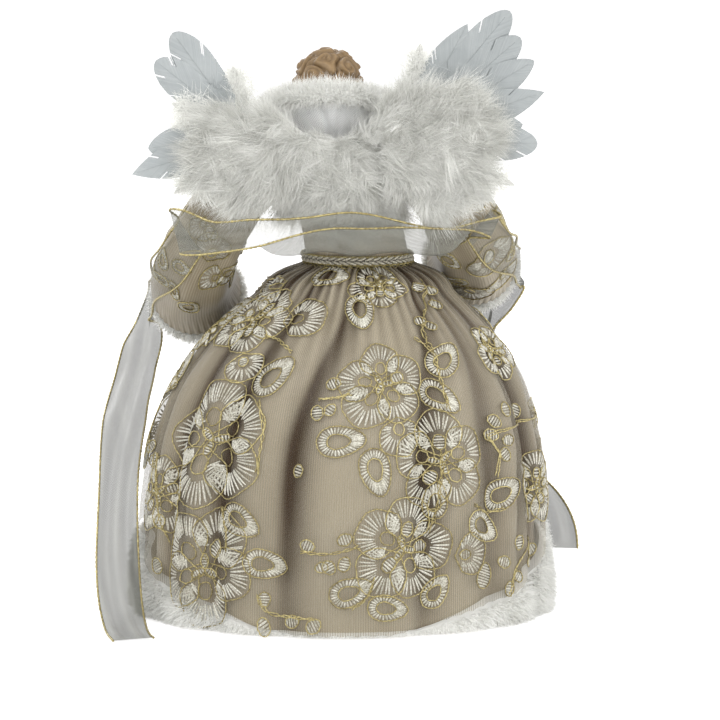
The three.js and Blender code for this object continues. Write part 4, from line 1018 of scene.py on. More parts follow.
@dataclass
class Skirt(Surface):
    """The gathered skirt: overlay, lining and plush hem on one folded dome."""

    waist_height: float = 190.0
    waist_radius: float = 30.4
    hem_radius: float = 114.0
    depth_share: float = 0.86
    dome_power: float = 4.0
    dome_fullness: float = 1.065
    waist_lean: float = 9.0
    fold_angles: tuple[float, ...] = (8, 31, 51, 73, 113, 136, 158, 182, 206, 231, 256, 281, 304,
                                      328, 348)
    fold_drifts: tuple[float, ...] = (4, 6, 10, 21, 19, 7, -4, 3, -3, 4, -2, 3, -4, 2, -3)
    drift_start_share: float = 0.5
    fold_half_angle: float = 7.0
    fold_depth: float = 8.2
    pleat_count: int = 58
    pleat_depth: float = 1.5
    pleat_reach: float = 24.0
    puff: float = 4.6
    puff_drop: float = 7.0
    overlay_thickness: float = 0.8
    hem_angles: tuple[float, ...] = (14, 31, 45, 56, 71, 85, 100, 130)
    hem_heights: tuple[float, ...] = (1.5, 9, 14, 17, 26, 41, 47, 50)
    fur_height: float = 46.0
    fur_bulge: float = 5.4
    plush_strands: int = 34500

    def __post_init__(self) -> None:
        """Works out the lengths up the dome and the folds' own strengths."""
        self.heights = np.linspace(0, self.waist_height, 600)
        radii = self.radius(self.heights)
        steps = np.hypot(np.diff(self.heights), np.diff(radii))
        self.runs = np.concatenate([[0], np.cumsum(steps)])
        self.low = (0.0, 0.0)
        self.high = (FULL_TURN, float(self.runs[-1]))
        random = np.random.default_rng(5)
        self.fold_strengths = random.uniform(0.8, 1.08, len(self.fold_angles))
        self.fold_strengths[5] *= 0.7

    def radius(self, z: Array) -> Array:
        """The dome's radius at a height, before its folds."""
        rise = np.clip(z / self.waist_height, 0, 1)
        share = (1 - rise ** self.dome_power) ** self.dome_fullness
        return mix(self.waist_radius, self.hem_radius, share)

    def lean(self, z: Array) -> Array:
        """How far the dome's middle stands to one side at a height."""
        return -self.waist_lean * (z / self.waist_height) ** 2

    def folds(self, angle: Array, z: Array) -> tuple[Array, Array]:
        """How deep the folds are.

        Args:
            angle: The way round, in radians.
            z: The height.

        Returns:
            The depth, and the painted shade of the valley, from 0 to 1.
        """
        rise = z / self.waist_height
        low = mix(0.5, 1.0, smooth(rise / 0.45))
        climb = smooth((rise - 0.45) / 0.55)
        strength = np.where(rise < 0.45, low, mix(1.0, 0.12, climb))
        # The painted shade fades less than the depth towards the waist
        darkness = np.where(rise < 0.45, low, mix(1.0, 0.62, climb))
        start = self.drift_start_share
        bend = np.clip((rise - start) / (1 - start), 0, 1) ** 1.7
        degrees = np.degrees(angle)
        depth = np.zeros(np.broadcast(angle, z).shape)
        shade = np.zeros_like(depth)
        for valley, size, drift in zip(self.fold_angles, self.fold_strengths, self.fold_drifts):
            away = (degrees - valley - drift * bend + 180) % 360 - 180
            broad = np.exp(-((away / self.fold_half_angle) ** 2))
            narrow = np.exp(-((away / (self.fold_half_angle * 0.4)) ** 2))
            depth = depth + size * (0.62 * broad + 0.38 * narrow)
            # The painted shade has a sharp edge on one side of each valley
            edge = np.exp(-((away / (self.fold_half_angle * np.where(away < 0, 0.3, 0.95))) ** 2))
            shade = shade + 1.2 * size * mix(broad, edge, 0.75)
        return self.fold_depth * strength * depth, np.clip(shade * darkness, 0, 1)

    def point(self, angle: Array, z: Array, offset: Array | float) -> Array:
        """Points of the folded dome.

        Args:
            angle: The way round, in radians.
            z: The height.
            offset: How far outside the overlay's face.

        Returns:
            The points.
        """
        depth, _ = self.folds(angle, z)
        top = np.exp(-(self.waist_height - z) / self.pleat_reach)
        pleats = self.pleat_depth * top * np.cos(self.pleat_count * angle + 0.5 * np.sin(3 * angle))
        creases = 0.7 * np.sin(9 * angle + z * 0.06) * np.sin(z * 0.045 + 2 * angle)
        creases = creases + 0.35 * np.sin(23 * angle - z * 0.11) * np.sin(z * 0.09)
        below = self.waist_height - z
        puff = self.puff * np.exp(-((below - self.puff_drop) / 7) ** 2) * smooth(below / 4)
        ruffle = puff * (1 + 0.3 * np.cos(self.pleat_count / 2 * angle))
        radius = self.radius(z) - depth - 0.6 + (pleats + creases) * smooth(z / 30)
        radius = radius + ruffle + offset
        return oval_ring(self.lean(z), radius, self.depth_share * radius, angle, z)

    def at(self, u: Array, v: Array) -> Array:
        """The points at an angle and a run up from the hem."""
        return self.point(u, np.interp(v, self.runs, self.heights), 0.0)

    def run(self, z: float) -> float:
        """How far up the cloth a height is."""
        return float(np.interp(z, self.heights, self.runs))

    def hem(self, angle: Array) -> Array:
        """The overlay's lower edge."""
        away = np.abs((np.degrees(angle) - 90 + 180) % 360 - 180)
        return np.interp(away, self.hem_angles, self.hem_heights)

    def standoff(self, z: Array) -> Array:
        """How far the lining hangs inside the overlay."""
        marks = [0, self.fur_height, 2 * self.fur_height, self.waist_height]
        return np.interp(z, marks, [6, 6, 2.2, 0.4])

    def cloth(self, name: str, bottom: Array, offset: float, inside: bool, finish: Cloth,
              rows: int) -> Piece:
        """Makes a sheet of the skirt, up to the waist.

        Args:
            name: The piece's name.
            bottom: The height of its lower edge at each column.
            offset: How far outside the overlay's face it lies.
            inside: Whether it also stands off as the lining does.
            finish: The cloth.
            rows: How many rows of points.

        Returns:
            The sheet.
        """
        angle = turns(len(bottom))[None]
        z = mix(bottom[None], self.waist_height - 0.2, np.linspace(0, 1, rows)[:, None])
        around = angle + 0 * z
        grid = self.point(around, z, offset - (self.standoff(z) if inside else 0))
        flat = np.stack([around * self.hem_radius, np.interp(z, self.heights, self.runs)], -1)
        sculpt = Sculpt()
        sculpt.sheet(grid, flat, True, self.light(around, z))
        return sculpt.build(name, finish)

    def light(self, angle: Array, z: Array) -> Array:
        """The cloth's tone: painted shade in the folds' valleys and between the gathers."""
        _, valley = self.folds(angle, z)
        # Near the waist, painted shade between the gathers
        top = np.exp(-(self.waist_height - z) / self.pleat_reach)
        gather = 0.5 - 0.5 * np.cos(self.pleat_count * angle + 0.5 * np.sin(3 * angle))
        return 1 - np.clip(valley ** 1.05 + 0.9 * top * gather, 0, 1)

    def overlay(self) -> None:
        """Makes the sheer overlay."""
        angle = turns(900)
        bottom = self.hem(angle) + 0.8 * np.abs(np.sin(angle * 42))
        piece = self.cloth("skirt_tulle", bottom, -0.15, False, TULLE, 110)
        set_in(piece, "root", "tulle", "skirt_overlay")

    def lining(self) -> None:
        """Makes the satin lining."""
        bottom = np.full(700, 1.0)
        piece = self.cloth("skirt_satin", bottom, -self.overlay_thickness, True, SATIN, 90)
        set_in(piece, "root", "satin", "skirt_lining")

    def hem_plush(self) -> None:
        """Makes the plush band round the hem."""
        angle = turns(540)
        roll = np.clip(self.hem(angle) - 2, 3, 44)
        strength = smooth((roll - 3) / 12)
        tucked = -self.overlay_thickness - 1
        rise = np.linspace(0, 1, 16)
        swell = np.interp(rise, [0, 0.12, 0.35, 0.68, 1], [0.6, 0.84, 1, 0.8, 0])
        grid = np.stack([
            self.point(angle, mix(0.6, roll, r), tucked + (self.fur_bulge - 2.2) * s * strength)
            for r, s in zip(rise, swell)
        ])
        sculpt = Sculpt()
        # The base and the tucked sheet below take a lower tone than the pile: painted shade deep in
        # the pile
        sculpt.sheet(grid, None, True, 0.35)
        self.plush(sculpt, grid, strength)
        sculpt.sheet(np.stack([
            self.point(angle, roll + (0.5 + 5 * strength) * share, tucked - 2 * share)
            for share in np.linspace(0, 1, 4)
        ]), None, True, 0.4)
        set_in(sculpt.build("hem_plush", PLUSH), "root", "plush", "hem_fur")

    def plush(self, sculpt: Sculpt, grid: Array, strength: Array) -> None:
        """Grows the hem's pile, longer where the band is wide.

        Args:
            sculpt: The piece that gets it.
            grid: The band's outer surface.
            strength: How wide the band is at each column, from 0 to 1.
        """
        random = np.random.default_rng(21)
        count = self.plush_strands
        roots, normals = scattered(grid, count, random)
        angle = np.arctan2(roots[:, 1] / self.depth_share, roots[:, 0] - self.lean(roots[:, 2]))
        wide = np.interp(angle % FULL_TURN, np.linspace(0, FULL_TURN, len(strength)), strength)
        ways = np.array([[0.3, 0.11, -0.23], [0.14, 0.34, 0.21], [-0.27, 0.19, 0.38]])
        tuft = np.sin(roots @ ways + np.sin(roots[:, [2, 0, 1]] * 0.17)).sum(1) / 3
        length = mix(1.6, 5.2, wide) * random.uniform(0.7, 1.1, count) * (1 + 0.15 * tuft)
        heading = unit(normals + random.normal(0, 0.35, (count, 3)) + [0, 0, -0.35])
        tips = roots[:, 2] + heading[:, 2] * length
        heading[:, 2] += np.clip(1.0 - tips, 0, None) / length
        bend = random.normal(0, 0.7, (count, 3)) + np.array([0, 0, -0.8])
        bend[:, 2] = np.maximum(bend[:, 2], 0.7 - (roots[:, 2] + heading[:, 2] * length))
        facing = unit(random.normal(0, 1, (count, 3)))
        tone = np.clip(0.6 + 0.22 * tuft + random.normal(0, 0.14, count), 0, 1)
        sculpt.strands(roots, heading * length[:, None], bend, 0.55, facing, 3, tone)


class Motif(Enum):
    """The figures of the embroidery."""

    BLOOM = "bloom"
    FAN = "fan"
    LEAF = "leaf"
    BUD = "bud"


@dataclass(frozen=True)
class Spot:
    """A figure of the embroidery that the reference view shows.

    Column and row say where its middle is in that view, turn which way it points, counted
    anticlockwise from the right, and size how far it reaches.
    """

    motif: Motif
    column: float
    row: float
    turn: float
    size: float


def figures(*groups: tuple[Motif, tuple[tuple[float, ...], ...]]) -> tuple[Spot, ...]:
    """The figures of each group, whose rows say column, row, turn and size."""
    return tuple(Spot(motif, *numbers) for motif, rows in groups for numbers in rows)


SKIRT_SPOTS = figures(
    (Motif.BLOOM, ((216, 439, 105, 35), (208, 564, 63, 33), (379, 384, 95, 24), (399, 543, 79, 29),
                   (256, 322, 150, 24), (379, 286, -90, 16), (162, 492, 20, 22),
                   (490, 352, 200, 18), (534, 484, 160, 20))),
    (Motif.FAN, ((279, 323, 20, 27), (291, 284, 215, 22), (190, 352, 130, 22),
                 (397, 412, -80, 23))),
    (Motif.BLOOM, ((441, 459, 20, 27),)),
    (Motif.FAN, ((446, 549, 0, 23), (245, 350, -60, 20))),
    (Motif.LEAF, ((437, 585, 55, 20),)),
    (Motif.BUD, ((481, 572, 70, 14),)),
    (Motif.LEAF, ((277, 375, 52, 28), (341, 438, 5, 26), (376, 469, -75, 26), (240, 515, -30, 24),
                  (265, 559, -10, 24), (444, 360, 40, 25), (440, 396, -40, 25), (499, 489, 20, 26),
                  (478, 524, -35, 24), (180, 370, 70, 26), (353, 585, 20, 24), (388, 601, -10, 22),
                  (431, 497, 80, 20), (331, 278, 0, 20), (358, 312, -80, 24), (231, 302, 35, 26))),
    (Motif.BUD, ((332, 383, 30, 8), (319, 410, 100, 8), (334, 408, 60, 7), (343, 533, 20, 8),
                 (330, 561, -60, 8), (344, 558, -100, 8), (307, 541, 160, 8), (324, 562, 200, 7),
                 (157, 460, 100, 8), (163, 519, -80, 8), (159, 562, 120, 9), (416, 287, 60, 7),
                 (430, 292, 0, 8), (432, 304, -20, 8), (417, 322, 0, 7), (429, 326, -30, 7),
                 (502, 408, 90, 8), (515, 411, 60, 8), (492, 419, 140, 8), (512, 426, 20, 8),
                 (486, 434, 170, 8), (506, 438, 0, 8), (500, 452, -60, 8), (531, 548, 30, 8),
                 (526, 560, 0, 7), (503, 557, 160, 8), (515, 541, 90, 8), (517, 573, -40, 7),
                 (506, 586, -100, 8), (269, 594, 90, 8), (268, 619, -60, 8), (292, 614, 10, 8),
                 (313, 619, 30, 8), (300, 468, 80, 7))),
)
SKIRT_STEMS: tuple[tuple[Pair, ...], ...] = (
    ((509, 402), (500, 428), (497, 450), (492, 474)),
    ((524, 536), (516, 560), (508, 592)),
    ((420, 282), (423, 306), (421, 330), (430, 348)),
    ((300, 548), (330, 547), (362, 540)),
    ((262, 588), (275, 606), (312, 612)),
    ((318, 398), (338, 395), (352, 392)),
    ((160, 452), (158, 478), (165, 515), (170, 540)),
    ((262, 400), (268, 430), (262, 470)),
    ((292, 352), (284, 342), (268, 336)),
    ((412, 340), (428, 352), (440, 378), (446, 410)),
    ((436, 448), (440, 470), (436, 510), (424, 528)),
    ((472, 500), (484, 508), (500, 505)),
    ((225, 505), (232, 530), (228, 545)),
    ((372, 572), (366, 590), (352, 600)),
)
RIGHT_SLEEVE_SPOTS = figures(
    (Motif.FAN, ((476, 244, -80, 31), (462, 284, -60, 24), (502, 268, -95, 24),
                 (504, 232, 10, 18))),
    (Motif.LEAF, ((449, 262, -60, 16), (460, 232, 20, 15))),
)
LEFT_SLEEVE_SPOTS = figures(
    (Motif.LEAF, ((164, 260, 120, 13), (183, 268, 20, 13), (162, 279, 200, 13),
                  (175, 291, -60, 13))),
    (Motif.FAN, ((222, 268, -30, 20), (206, 264, 85, 22))),
)


def embroider(work: Needlework, spots: Iterable[Spot]) -> None:
    """Adds the figures that the reference view shows.

    Args:
        work: The needlework that gets them.
        spots: The figures.
    """
    for spot in spots:
        place_motif(work, spot.motif, work.surface.found(spot.column, spot.row),
                    spot.turn * work.surface.upward, spot.size)


def place_motif(work: Needlework, motif: Motif, middle: Pair, turn: float, size: float) -> None:
    """Adds one figure.

    Args:
        work: The needlework that gets it.
        motif: Which figure.
        middle: The surface coordinates of its middle.
        turn: The way that it points.
        size: How far it reaches.
    """
    work.middle = middle
    if motif is Motif.BLOOM:
        work.bloom(turn, size)
    elif motif is Motif.FAN:
        work.petal(turn, size)
    elif motif is Motif.LEAF:
        work.leaf(turn, size, size * 0.62)
    else:
        work.bud(turn, size * 0.8)


def embroider_front(work: Needlework, skirt: Skirt) -> None:
    """Carries the embroidery on round the front of the skirt.

    Args:
        work: The needlework that gets it.
        skirt: The skirt.
    """
    for index in range(6):
        angle = 198 + 29 * index
        low = 92 if index % 2 else 72
        place_motif(work, Motif.BLOOM, (math.radians(angle), skirt.run(low)), 40 * index, 25)
        place_motif(work, Motif.BLOOM, (math.radians(angle + 14), skirt.run(low + 62)),
                    70 * index, 20)
        for step, (across, rise) in enumerate(((-13, 34), (13, 30), (15, -6), (0, 84))):
            spot = (math.radians(angle + across), skirt.run(min(low + rise, 182)))
            place_motif(work, Motif.LEAF, spot, 35 + 80 * step + 20 * index, 22)
        for step in range(7):
            way = math.radians(angle + 9 * math.cos(step * 0.9) + 14)
            spot = (way, skirt.run(low - 10 + 7 * step))
            place_motif(work, Motif.BUD, spot, 50 * step, 8)
        stem = [(math.radians(angle + 14 + 3 * math.sin(k * 1.4)), skirt.run(low - 14 + 13 * k))
                for k in range(5)]
        work.stem(stem)


@dataclass
class Torso:
    """Bodice, waist braid, yoke and plush collar."""

    waist_height: float = 190.0
    top: float = 256.0
    waist_lean: float = 9.0
    lean_share: float = 0.175
    half_width: float = 31.0
    half_depth: float = 23.5
    cover: float = 1.0
    shares: tuple[Triple, ...] = (
        (0, 0.884, 1), (0.15, 0.86, 0.93), (0.38, 0.855, 0.86), (0.758, 1, 0.85),
        (0.88, 0.87, 0.766), (0.955, 0.62, 0.6), (1, 0.39, 0.43))
    braid_height: float = 5.6
    braid_threads: int = 46
    collar_half_width: float = 34.5
    collar_half_depth: float = 28.0
    collar_height: float = 271.0
    collar_tilt: float = 13.0
    collar_tube: float = 4.4
    yoke_foot: float = 252.0

    def lean(self, z: Array | float) -> Array | float:
        """How far the middle line stands to one side at a height."""
        return -self.waist_lean + (z - self.waist_height) * self.lean_share

    def radii(self, z: Array) -> tuple[Array, Array]:
        """The torso's half width and half depth at a height."""
        rise = (z - self.waist_height) / (self.top - self.waist_height)
        table = np.array(self.shares)
        width = np.interp(rise, table[:, 0], table[:, 1]) * self.half_width
        depth = np.interp(rise, table[:, 0], table[:, 2]) * self.half_depth
        return width, depth

    def ring(self, angle: Array, z: Array | float, out: Array | float,
             girth_at: float | None = None) -> Array:
        """Points round the torso, with the girth of their own height or of another."""
        width, depth = self.radii(z if girth_at is None else girth_at)
        return oval_ring(self.lean(z), width + out, depth + out, angle, z)

    def bodice(self) -> None:
        """Makes the satin bodice."""
        angle = turns(160)[None]
        z = np.linspace(self.waist_height + 0.8, self.top - 0.2, 40)[:, None] + 0 * angle
        creases = 0.3 * np.sin(11 * angle + z * 0.2) * np.sin(z * 0.35)
        grid = self.ring(angle + 0 * z, z, self.cover - 0.1 + np.clip(creases, -0.3, 0.15))
        sculpt = Sculpt()
        # The tone follows the creases: painted shade where they dip in, lighter where they stand
        # out
        sculpt.sheet(grid, np.stack([angle * self.half_width + 0 * z, z], -1), True, 0.8 + creases)
        piece = set_in(sculpt.build("bodice_satin", BODICE_SATIN), "root", "satin", "bodice")

    def braid(self) -> None:
        """Makes the gimp braid: two rows of slanted cream threads between gold edges."""
        band, gold = Sculpt(), Sculpt()
        bottom = self.waist_height + 0.6

        def place(angle: Array, z: Array, lift: Array | float) -> Array:
            """Points on the braid's band."""
            return self.ring(angle, z, 1.9 + lift, self.waist_height)

        angle = turns(180)[None]
        z = np.linspace(bottom, bottom + self.braid_height - 0.4, 5)[:, None] + 0 * angle
        # The band under the threads takes the darkest tone: painted shade between the threads
        band.sheet(place(angle + 0 * z, z, -0.1), None, True, 0.0)
        share = np.linspace(0, 1, 5)
        step = FULL_TURN / self.braid_threads
        for side in (-1, 1):
            rise = bottom + self.braid_height / 2 - 0.2
            rise = rise + side * mix(0.2, self.braid_height * 0.36, share)
            for index in range(self.braid_threads):
                way = (index + 0.25 * (side + 1) + 1.3 * share) * step
                path = place(way, rise, 0.45 + 0.55 * np.sin(np.pi * share))
                band.tube(path, [0.3, 0.6, 0.7, 0.6, 0.3], 6, None, False, 1.0)
        way = turns(420)
        for level in (0.3, self.braid_height - 0.9):
            for phase in (0, math.pi):
                wave = bottom + level + 0.45 * np.sin(way * 90 + phase)
                path = place(way, wave, 0.6 + 0.3 * np.cos(way * 90 + phase))
                gold.tube(path, 0.32, 4, None, True, 0.5)
        for start in turns(40):
            way = start + np.linspace(0, 0.16, 9)
            sag = bottom - 1.5 * np.sin(np.linspace(0, math.pi, 9))
            gold.tube(place(way, sag, 0.9), 0.3, 4, None, False, 0.4)
        threads = band.build("waist_braid_threads", BRAID_THREAD)
        set_in(threads, "root", "braid", "waist_braid")
        set_in(gold.build("waist_braid_gold", GOLD), "root", "braid")

    def collar_centre(self, angle: Array) -> Array:
        """Points of the collar's middle line."""
        z = self.collar_height + self.collar_tilt * np.sin(angle)
        return oval_ring(self.lean(z), self.collar_half_width, self.collar_half_depth, angle, z)

    def yoke(self) -> None:
        """Makes the white woven yoke, with a notch at the middle of the back."""
        angle = turns(220)
        foot = self.ring(angle, self.yoke_foot, 2.9)
        head = self.collar_centre(angle) - UP * 5.6
        outward = oval_ring(0, 1, 1, angle, 0)
        away = np.abs(np.degrees(angle) - 90)
        rows = []
        for share in np.linspace(0, 1, 22):
            swell = 0.9 * math.sin(math.pi * share)
            notch = 1.4 * np.exp(-((away - 9 * share) / 3.5) ** 2)
            rows.append(mix(foot, head, share) + outward * (swell - notch)[:, None] + UP * 0.3)
        rise = np.linspace(0, 30, 22)[:, None] + 0 * angle[None]
        flat = np.stack([angle[None] * self.collar_half_width + 0 * rise, rise], -1)
        sculpt = Sculpt()
        sculpt.sheet(np.stack(rows), flat, True, 0.95)
        piece = set_in(sculpt.build("yoke_cloth", WOVEN), "root", "woven", "yoke")

    def collar(self) -> None:
        """Makes the plush collar."""
        angle = turns(200)
        centre, outward = self.collar_centre(angle), oval_ring(0, 1, 1, angle, 0)
        grid = np.stack([
            centre + outward * self.collar_tube * math.cos(t) + UP * self.collar_tube * math.sin(t)
            for t in np.linspace(0, FULL_TURN, 25)
        ])
        sculpt = Sculpt()
        # The base takes a lower tone than the pile: painted shade deep in the pile
        sculpt.sheet(grid, None, True, 0.4)
        Pile(5.2, 3.0, 0.4, 1.2, (0, 0, 0.2)).grow(sculpt, grid, 31)
        set_in(sculpt.build("collar_plush", PLUSH), "root", "plush", "fur_collar")


@dataclass
class Head:
    """A plain doll's head with a painted face, and hair carved in spiral curls."""

    centre: Triple = (7.275, -3.0, 283.0)
    half_width: float = 15.0
    half_depth: float = 17.5
    half_height: float = 21.0
    neck_radius: float = 8.0
    neck_foot: float = 256.3
    waist_height: float = 190.0
    waist_lean: float = 9.0
    lean_share: float = 0.175
    hair_half_width: float = 18.4
    hair_half_depth: float = 19.0
    hair_half_height: float = 19.6
    hair_lift: float = 2.0
    hair_setback: float = 3.0
    curl_count: int = 22

    def relief(self, x: Array, z: Array) -> Array:
        """How far the face stands out of the ball.

        Args:
            x: Across the face, in shares of its half width.
            z: Up the face, in shares of its half height.

        Returns:
            The relief, as a share of the half depth.
        """
        side = np.abs(x)

        def bump(value: Array, centre: float, spread: float) -> Array:
            """A soft round rise."""
            return np.exp(-(((value - centre) / spread) ** 2))

        ridge = np.clip((0.2 - z) / 0.34, 0, 1)
        nose = 0.14 * bump(x, 0, 0.1 + 0.02 * ridge) * bump(z, -0.17, 0.15)
        bridge = 0.055 * bump(x, 0, 0.12) * bump(z, 0.06, 0.17)
        wings = 0.035 * bump(side, 0.13, 0.06) * bump(z, -0.23, 0.06)
        sockets = 0.06 * bump(side, 0.35, 0.16) * bump(z, 0.07, 0.1)
        lids = 0.045 * bump(side, 0.35, 0.13) * bump(z, 0.045, 0.06)
        brow = 0.022 * bump(side, 0.36, 0.2) * bump(z, 0.21, 0.06)
        lips = 0.05 * bump(x, 0, 0.16) * (bump(z, -0.41, 0.035) + bump(z, -0.49, 0.04))
        groove = 0.02 * bump(x, 0, 0.05) * bump(z, -0.34, 0.05)
        chin = 0.075 * bump(x, 0, 0.22) * bump(z, -0.74, 0.13)
        cheeks = 0.03 * bump(side, 0.44, 0.2) * bump(z, -0.24, 0.2)
        return nose + bridge + wings - sockets + lids + brow + lips - groove + chin + cheeks

    def drawing(self, x: Array, z: Array, front: Array) -> tuple[Array, Array]:
        """The paint on the face.

        Args:
            x: Across the face, in shares of its half width.
            z: Up the face, in shares of its half height.
            front: One where the place is on the face.

        Returns:
            The colour of each point and how much it covers.
        """
        color = np.tile(np.array(paint(238, 206, 184)), (len(x), 1))
        cover = np.zeros(len(x))
        side = np.abs(x)

        def wash(share: Array, red: int, green: int, blue: int) -> None:
            """Lays a colour over the face where the share says."""
            nonlocal color, cover
            amount = np.clip(share, 0, 1) * front
            color = mix(color, np.array(paint(red, green, blue)), amount[:, None])
            cover = np.maximum(cover, amount)

        def disc(across: float, up: float, width: float, height: float, soft: float) -> Array:
            """One inside an oval, falling to nought at its edge."""
            radius = np.hypot((side - across) / width, (z - up) / height)
            return np.clip((1 - radius) / soft, 0, 1)

        def arc(across: float, up: float, reach: float, sag: float, thick: float) -> Array:
            """One along a thin curved line."""
            run = (side - across) / reach
            line = up + sag * (1 - run ** 2)
            return np.clip(1.6 - np.abs(z - line) / thick, 0, 1) * (np.abs(run) < 1)

        wash(0.45 * np.exp(-(((side - 0.5) / 0.2) ** 2 + ((z + 0.22) / 0.15) ** 2)), 226, 150, 136)
        wash(disc(0.35, 0.045, 0.135, 0.058, 0.18), 250, 248, 244)
        wash(disc(0.345, 0.05, 0.062, 0.056, 0.3), 96, 124, 140)
        wash(disc(0.345, 0.05, 0.03, 0.028, 0.4), 28, 26, 28)
        wash(arc(0.35, 0.055, 0.15, 0.055, 0.011), 70, 46, 34)
        wash(0.6 * arc(0.35, -0.02, 0.12, -0.012, 0.006), 150, 104, 84)
        wash(0.85 * arc(0.37, 0.19, 0.19, 0.05, 0.014), 150, 112, 78)
        smile = 0.02 * (x / 0.17) ** 2
        upper = np.clip(1.3 - np.hypot(x / 0.17, (z + 0.425 - smile) / 0.035), 0, 1)
        lower = np.clip(1.3 - np.hypot(x / 0.14, (z + 0.485 - smile) / 0.042), 0, 1)
        wash(2 * upper, 196, 96, 92)
        wash(2 * lower, 208, 112, 106)
        crease = np.clip(1.5 - np.abs(z + 0.452 - smile) / 0.007, 0, 1) * (np.abs(x) < 0.15)
        wash(0.8 * crease, 140, 60, 58)
        return color, cover

    def face(self) -> None:
        """Makes the head and neck."""
        share = np.arange(300) / 300
        turn = FULL_TURN * share + 0.42 * np.sin(FULL_TURN * share)
        angle = (turn + math.pi / 2)[None]
        level, flat = ball_rows(190)
        x = -flat * np.cos(angle)
        y = flat * np.sin(angle)
        z = level + 0 * angle
        front = smooth(-2 * y)
        jaw = 1 - 0.2 * smooth(-z)
        relief = self.relief(x, z) * front
        grid = np.stack([
            self.centre[0] + x * jaw * self.half_width,
            self.centre[1] + y * (1 + relief) * self.half_depth,
            self.centre[2] + z * self.half_height,
        ], -1)
        sculpt = Sculpt()
        sculpt.sheet(grid, None, True, 0.75)
        self.neck(sculpt)
        piece = sculpt.build("doll_head", SKIN)
        color, cover = self.drawing(x.ravel(), z.ravel(), (front > 0.2).ravel() * 1.0)
        extra = len(piece.data.vertices) - len(cover)
        drawn = piece.data.attributes.new("drawn", "FLOAT_COLOR", "POINT")
        drawn.data.foreach_set("color", np.concatenate([color, np.ones((extra, 4))]).ravel())
        covered = piece.data.attributes.new("cover", "FLOAT", "POINT")
        covered.data.foreach_set("value", np.concatenate([cover, np.zeros(extra)]))
        set_in(piece, "root", "skin", "head")

    def neck(self, sculpt: Sculpt) -> None:
        """Adds the neck to the head.

        Args:
            sculpt: The piece that gets it.
        """
        angle = turns(48)[None]
        z = np.linspace(self.neck_foot, self.centre[2] - 8, 24)[:, None]
        share = (z - self.neck_foot) / (self.centre[2] - 8 - self.neck_foot)
        radius = mix(self.neck_radius, 7.0, smooth(share * 1.6)) - 0.5 * np.sin(math.pi * share)
        lean = -self.waist_lean + (z - self.waist_height) * self.lean_share
        sculpt.sheet(oval_ring(lean, radius, radius, angle, z), None, True, 0.7)

    def curls(self) -> tuple[Array, Array]:
        """The middles of the curls and the axes that their spirals start from."""
        index = np.arange(self.curl_count)
        level = 1 - 1.55 * (index + 0.4) / self.curl_count
        around = index * 2.39996 + 0.6
        flat = np.sqrt(1 - level ** 2)
        middles = np.stack([flat * np.cos(around), flat * np.sin(around), level], 1)
        axes = unit(np.cross(middles, [0.3, 0.2, 1.0]))
        return middles, axes

    def hair(self) -> None:
        """Makes the hair."""
        columns, rows = 380, 250
        level, flat = ball_rows(rows)
        way = oval_ring(0, flat, flat, turns(columns)[None], level).reshape(-1, 3)
        middles, axes = self.curls()
        drift = np.sin(way[:, [1, 2, 0]] * 7 + [0.4, 1.9, 3.1]) + 0.6 * np.sin(
            way[:, [2, 0, 1]] * 13 + [2.2, 0.7, 1.2])
        away = np.arccos(np.clip(unit(way + 0.07 * drift) @ middles.T, -1, 1))
        order = np.argsort(away, axis=1)[:, :2]
        nearest = order[:, 0]
        near = np.take_along_axis(away, order[:, :1], 1)[:, 0]
        second = np.take_along_axis(away, order[:, 1:], 1)[:, 0]
        middle, axis = middles[nearest], axes[nearest]
        other = np.cross(middle, axis)
        turn = np.arctan2((way * other).sum(1), (way * axis).sum(1))
        hand = np.where(nearest % 2, 1.0, -1.0)
        pitch = 0.21
        wave = np.cos(FULL_TURN * near / pitch - hand * turn)
        strand = 0.3 * np.cos(3 * (FULL_TURN * near / pitch - hand * turn))
        crown = 0.09 * (1 - (near / 0.5) ** 2)
        seam = -0.05 * np.exp(-(((second - near) / 0.08) ** 2))
        swell = crown + seam + 0.024 * wave + 0.01 * strand
        # The tone follows the carving: painted shade in the spiral grooves, the finer strand lines
        # and the seams between curls
        tone = np.clip(0.66 + 0.2 * wave + 4 * seam + 0.12 * strand, 0, 1)
        x, y, z = way.T
        line = 0.5 + 0.1 * np.cos(3 * x)
        behind = smooth((y + 0.1) / 0.3)
        above = smooth((z - line) / 0.08)
        low = smooth((z + 0.72) / 0.1)
        shown = np.maximum(above, behind * low)
        scale = mix(0.72, 1 + swell, shown)
        grid = np.stack([
            self.centre[0] + x * self.hair_half_width * scale,
            self.centre[1] + self.hair_setback + y * self.hair_half_depth * scale,
            self.centre[2] + self.hair_lift + z * self.hair_half_height * scale,
        ], -1).reshape(rows, columns, 3)
        sculpt = Sculpt()
        sculpt.sheet(grid, None, True, tone)
        set_in(sculpt.build("hair_curls", HAIR), "root", "hair", "hair")


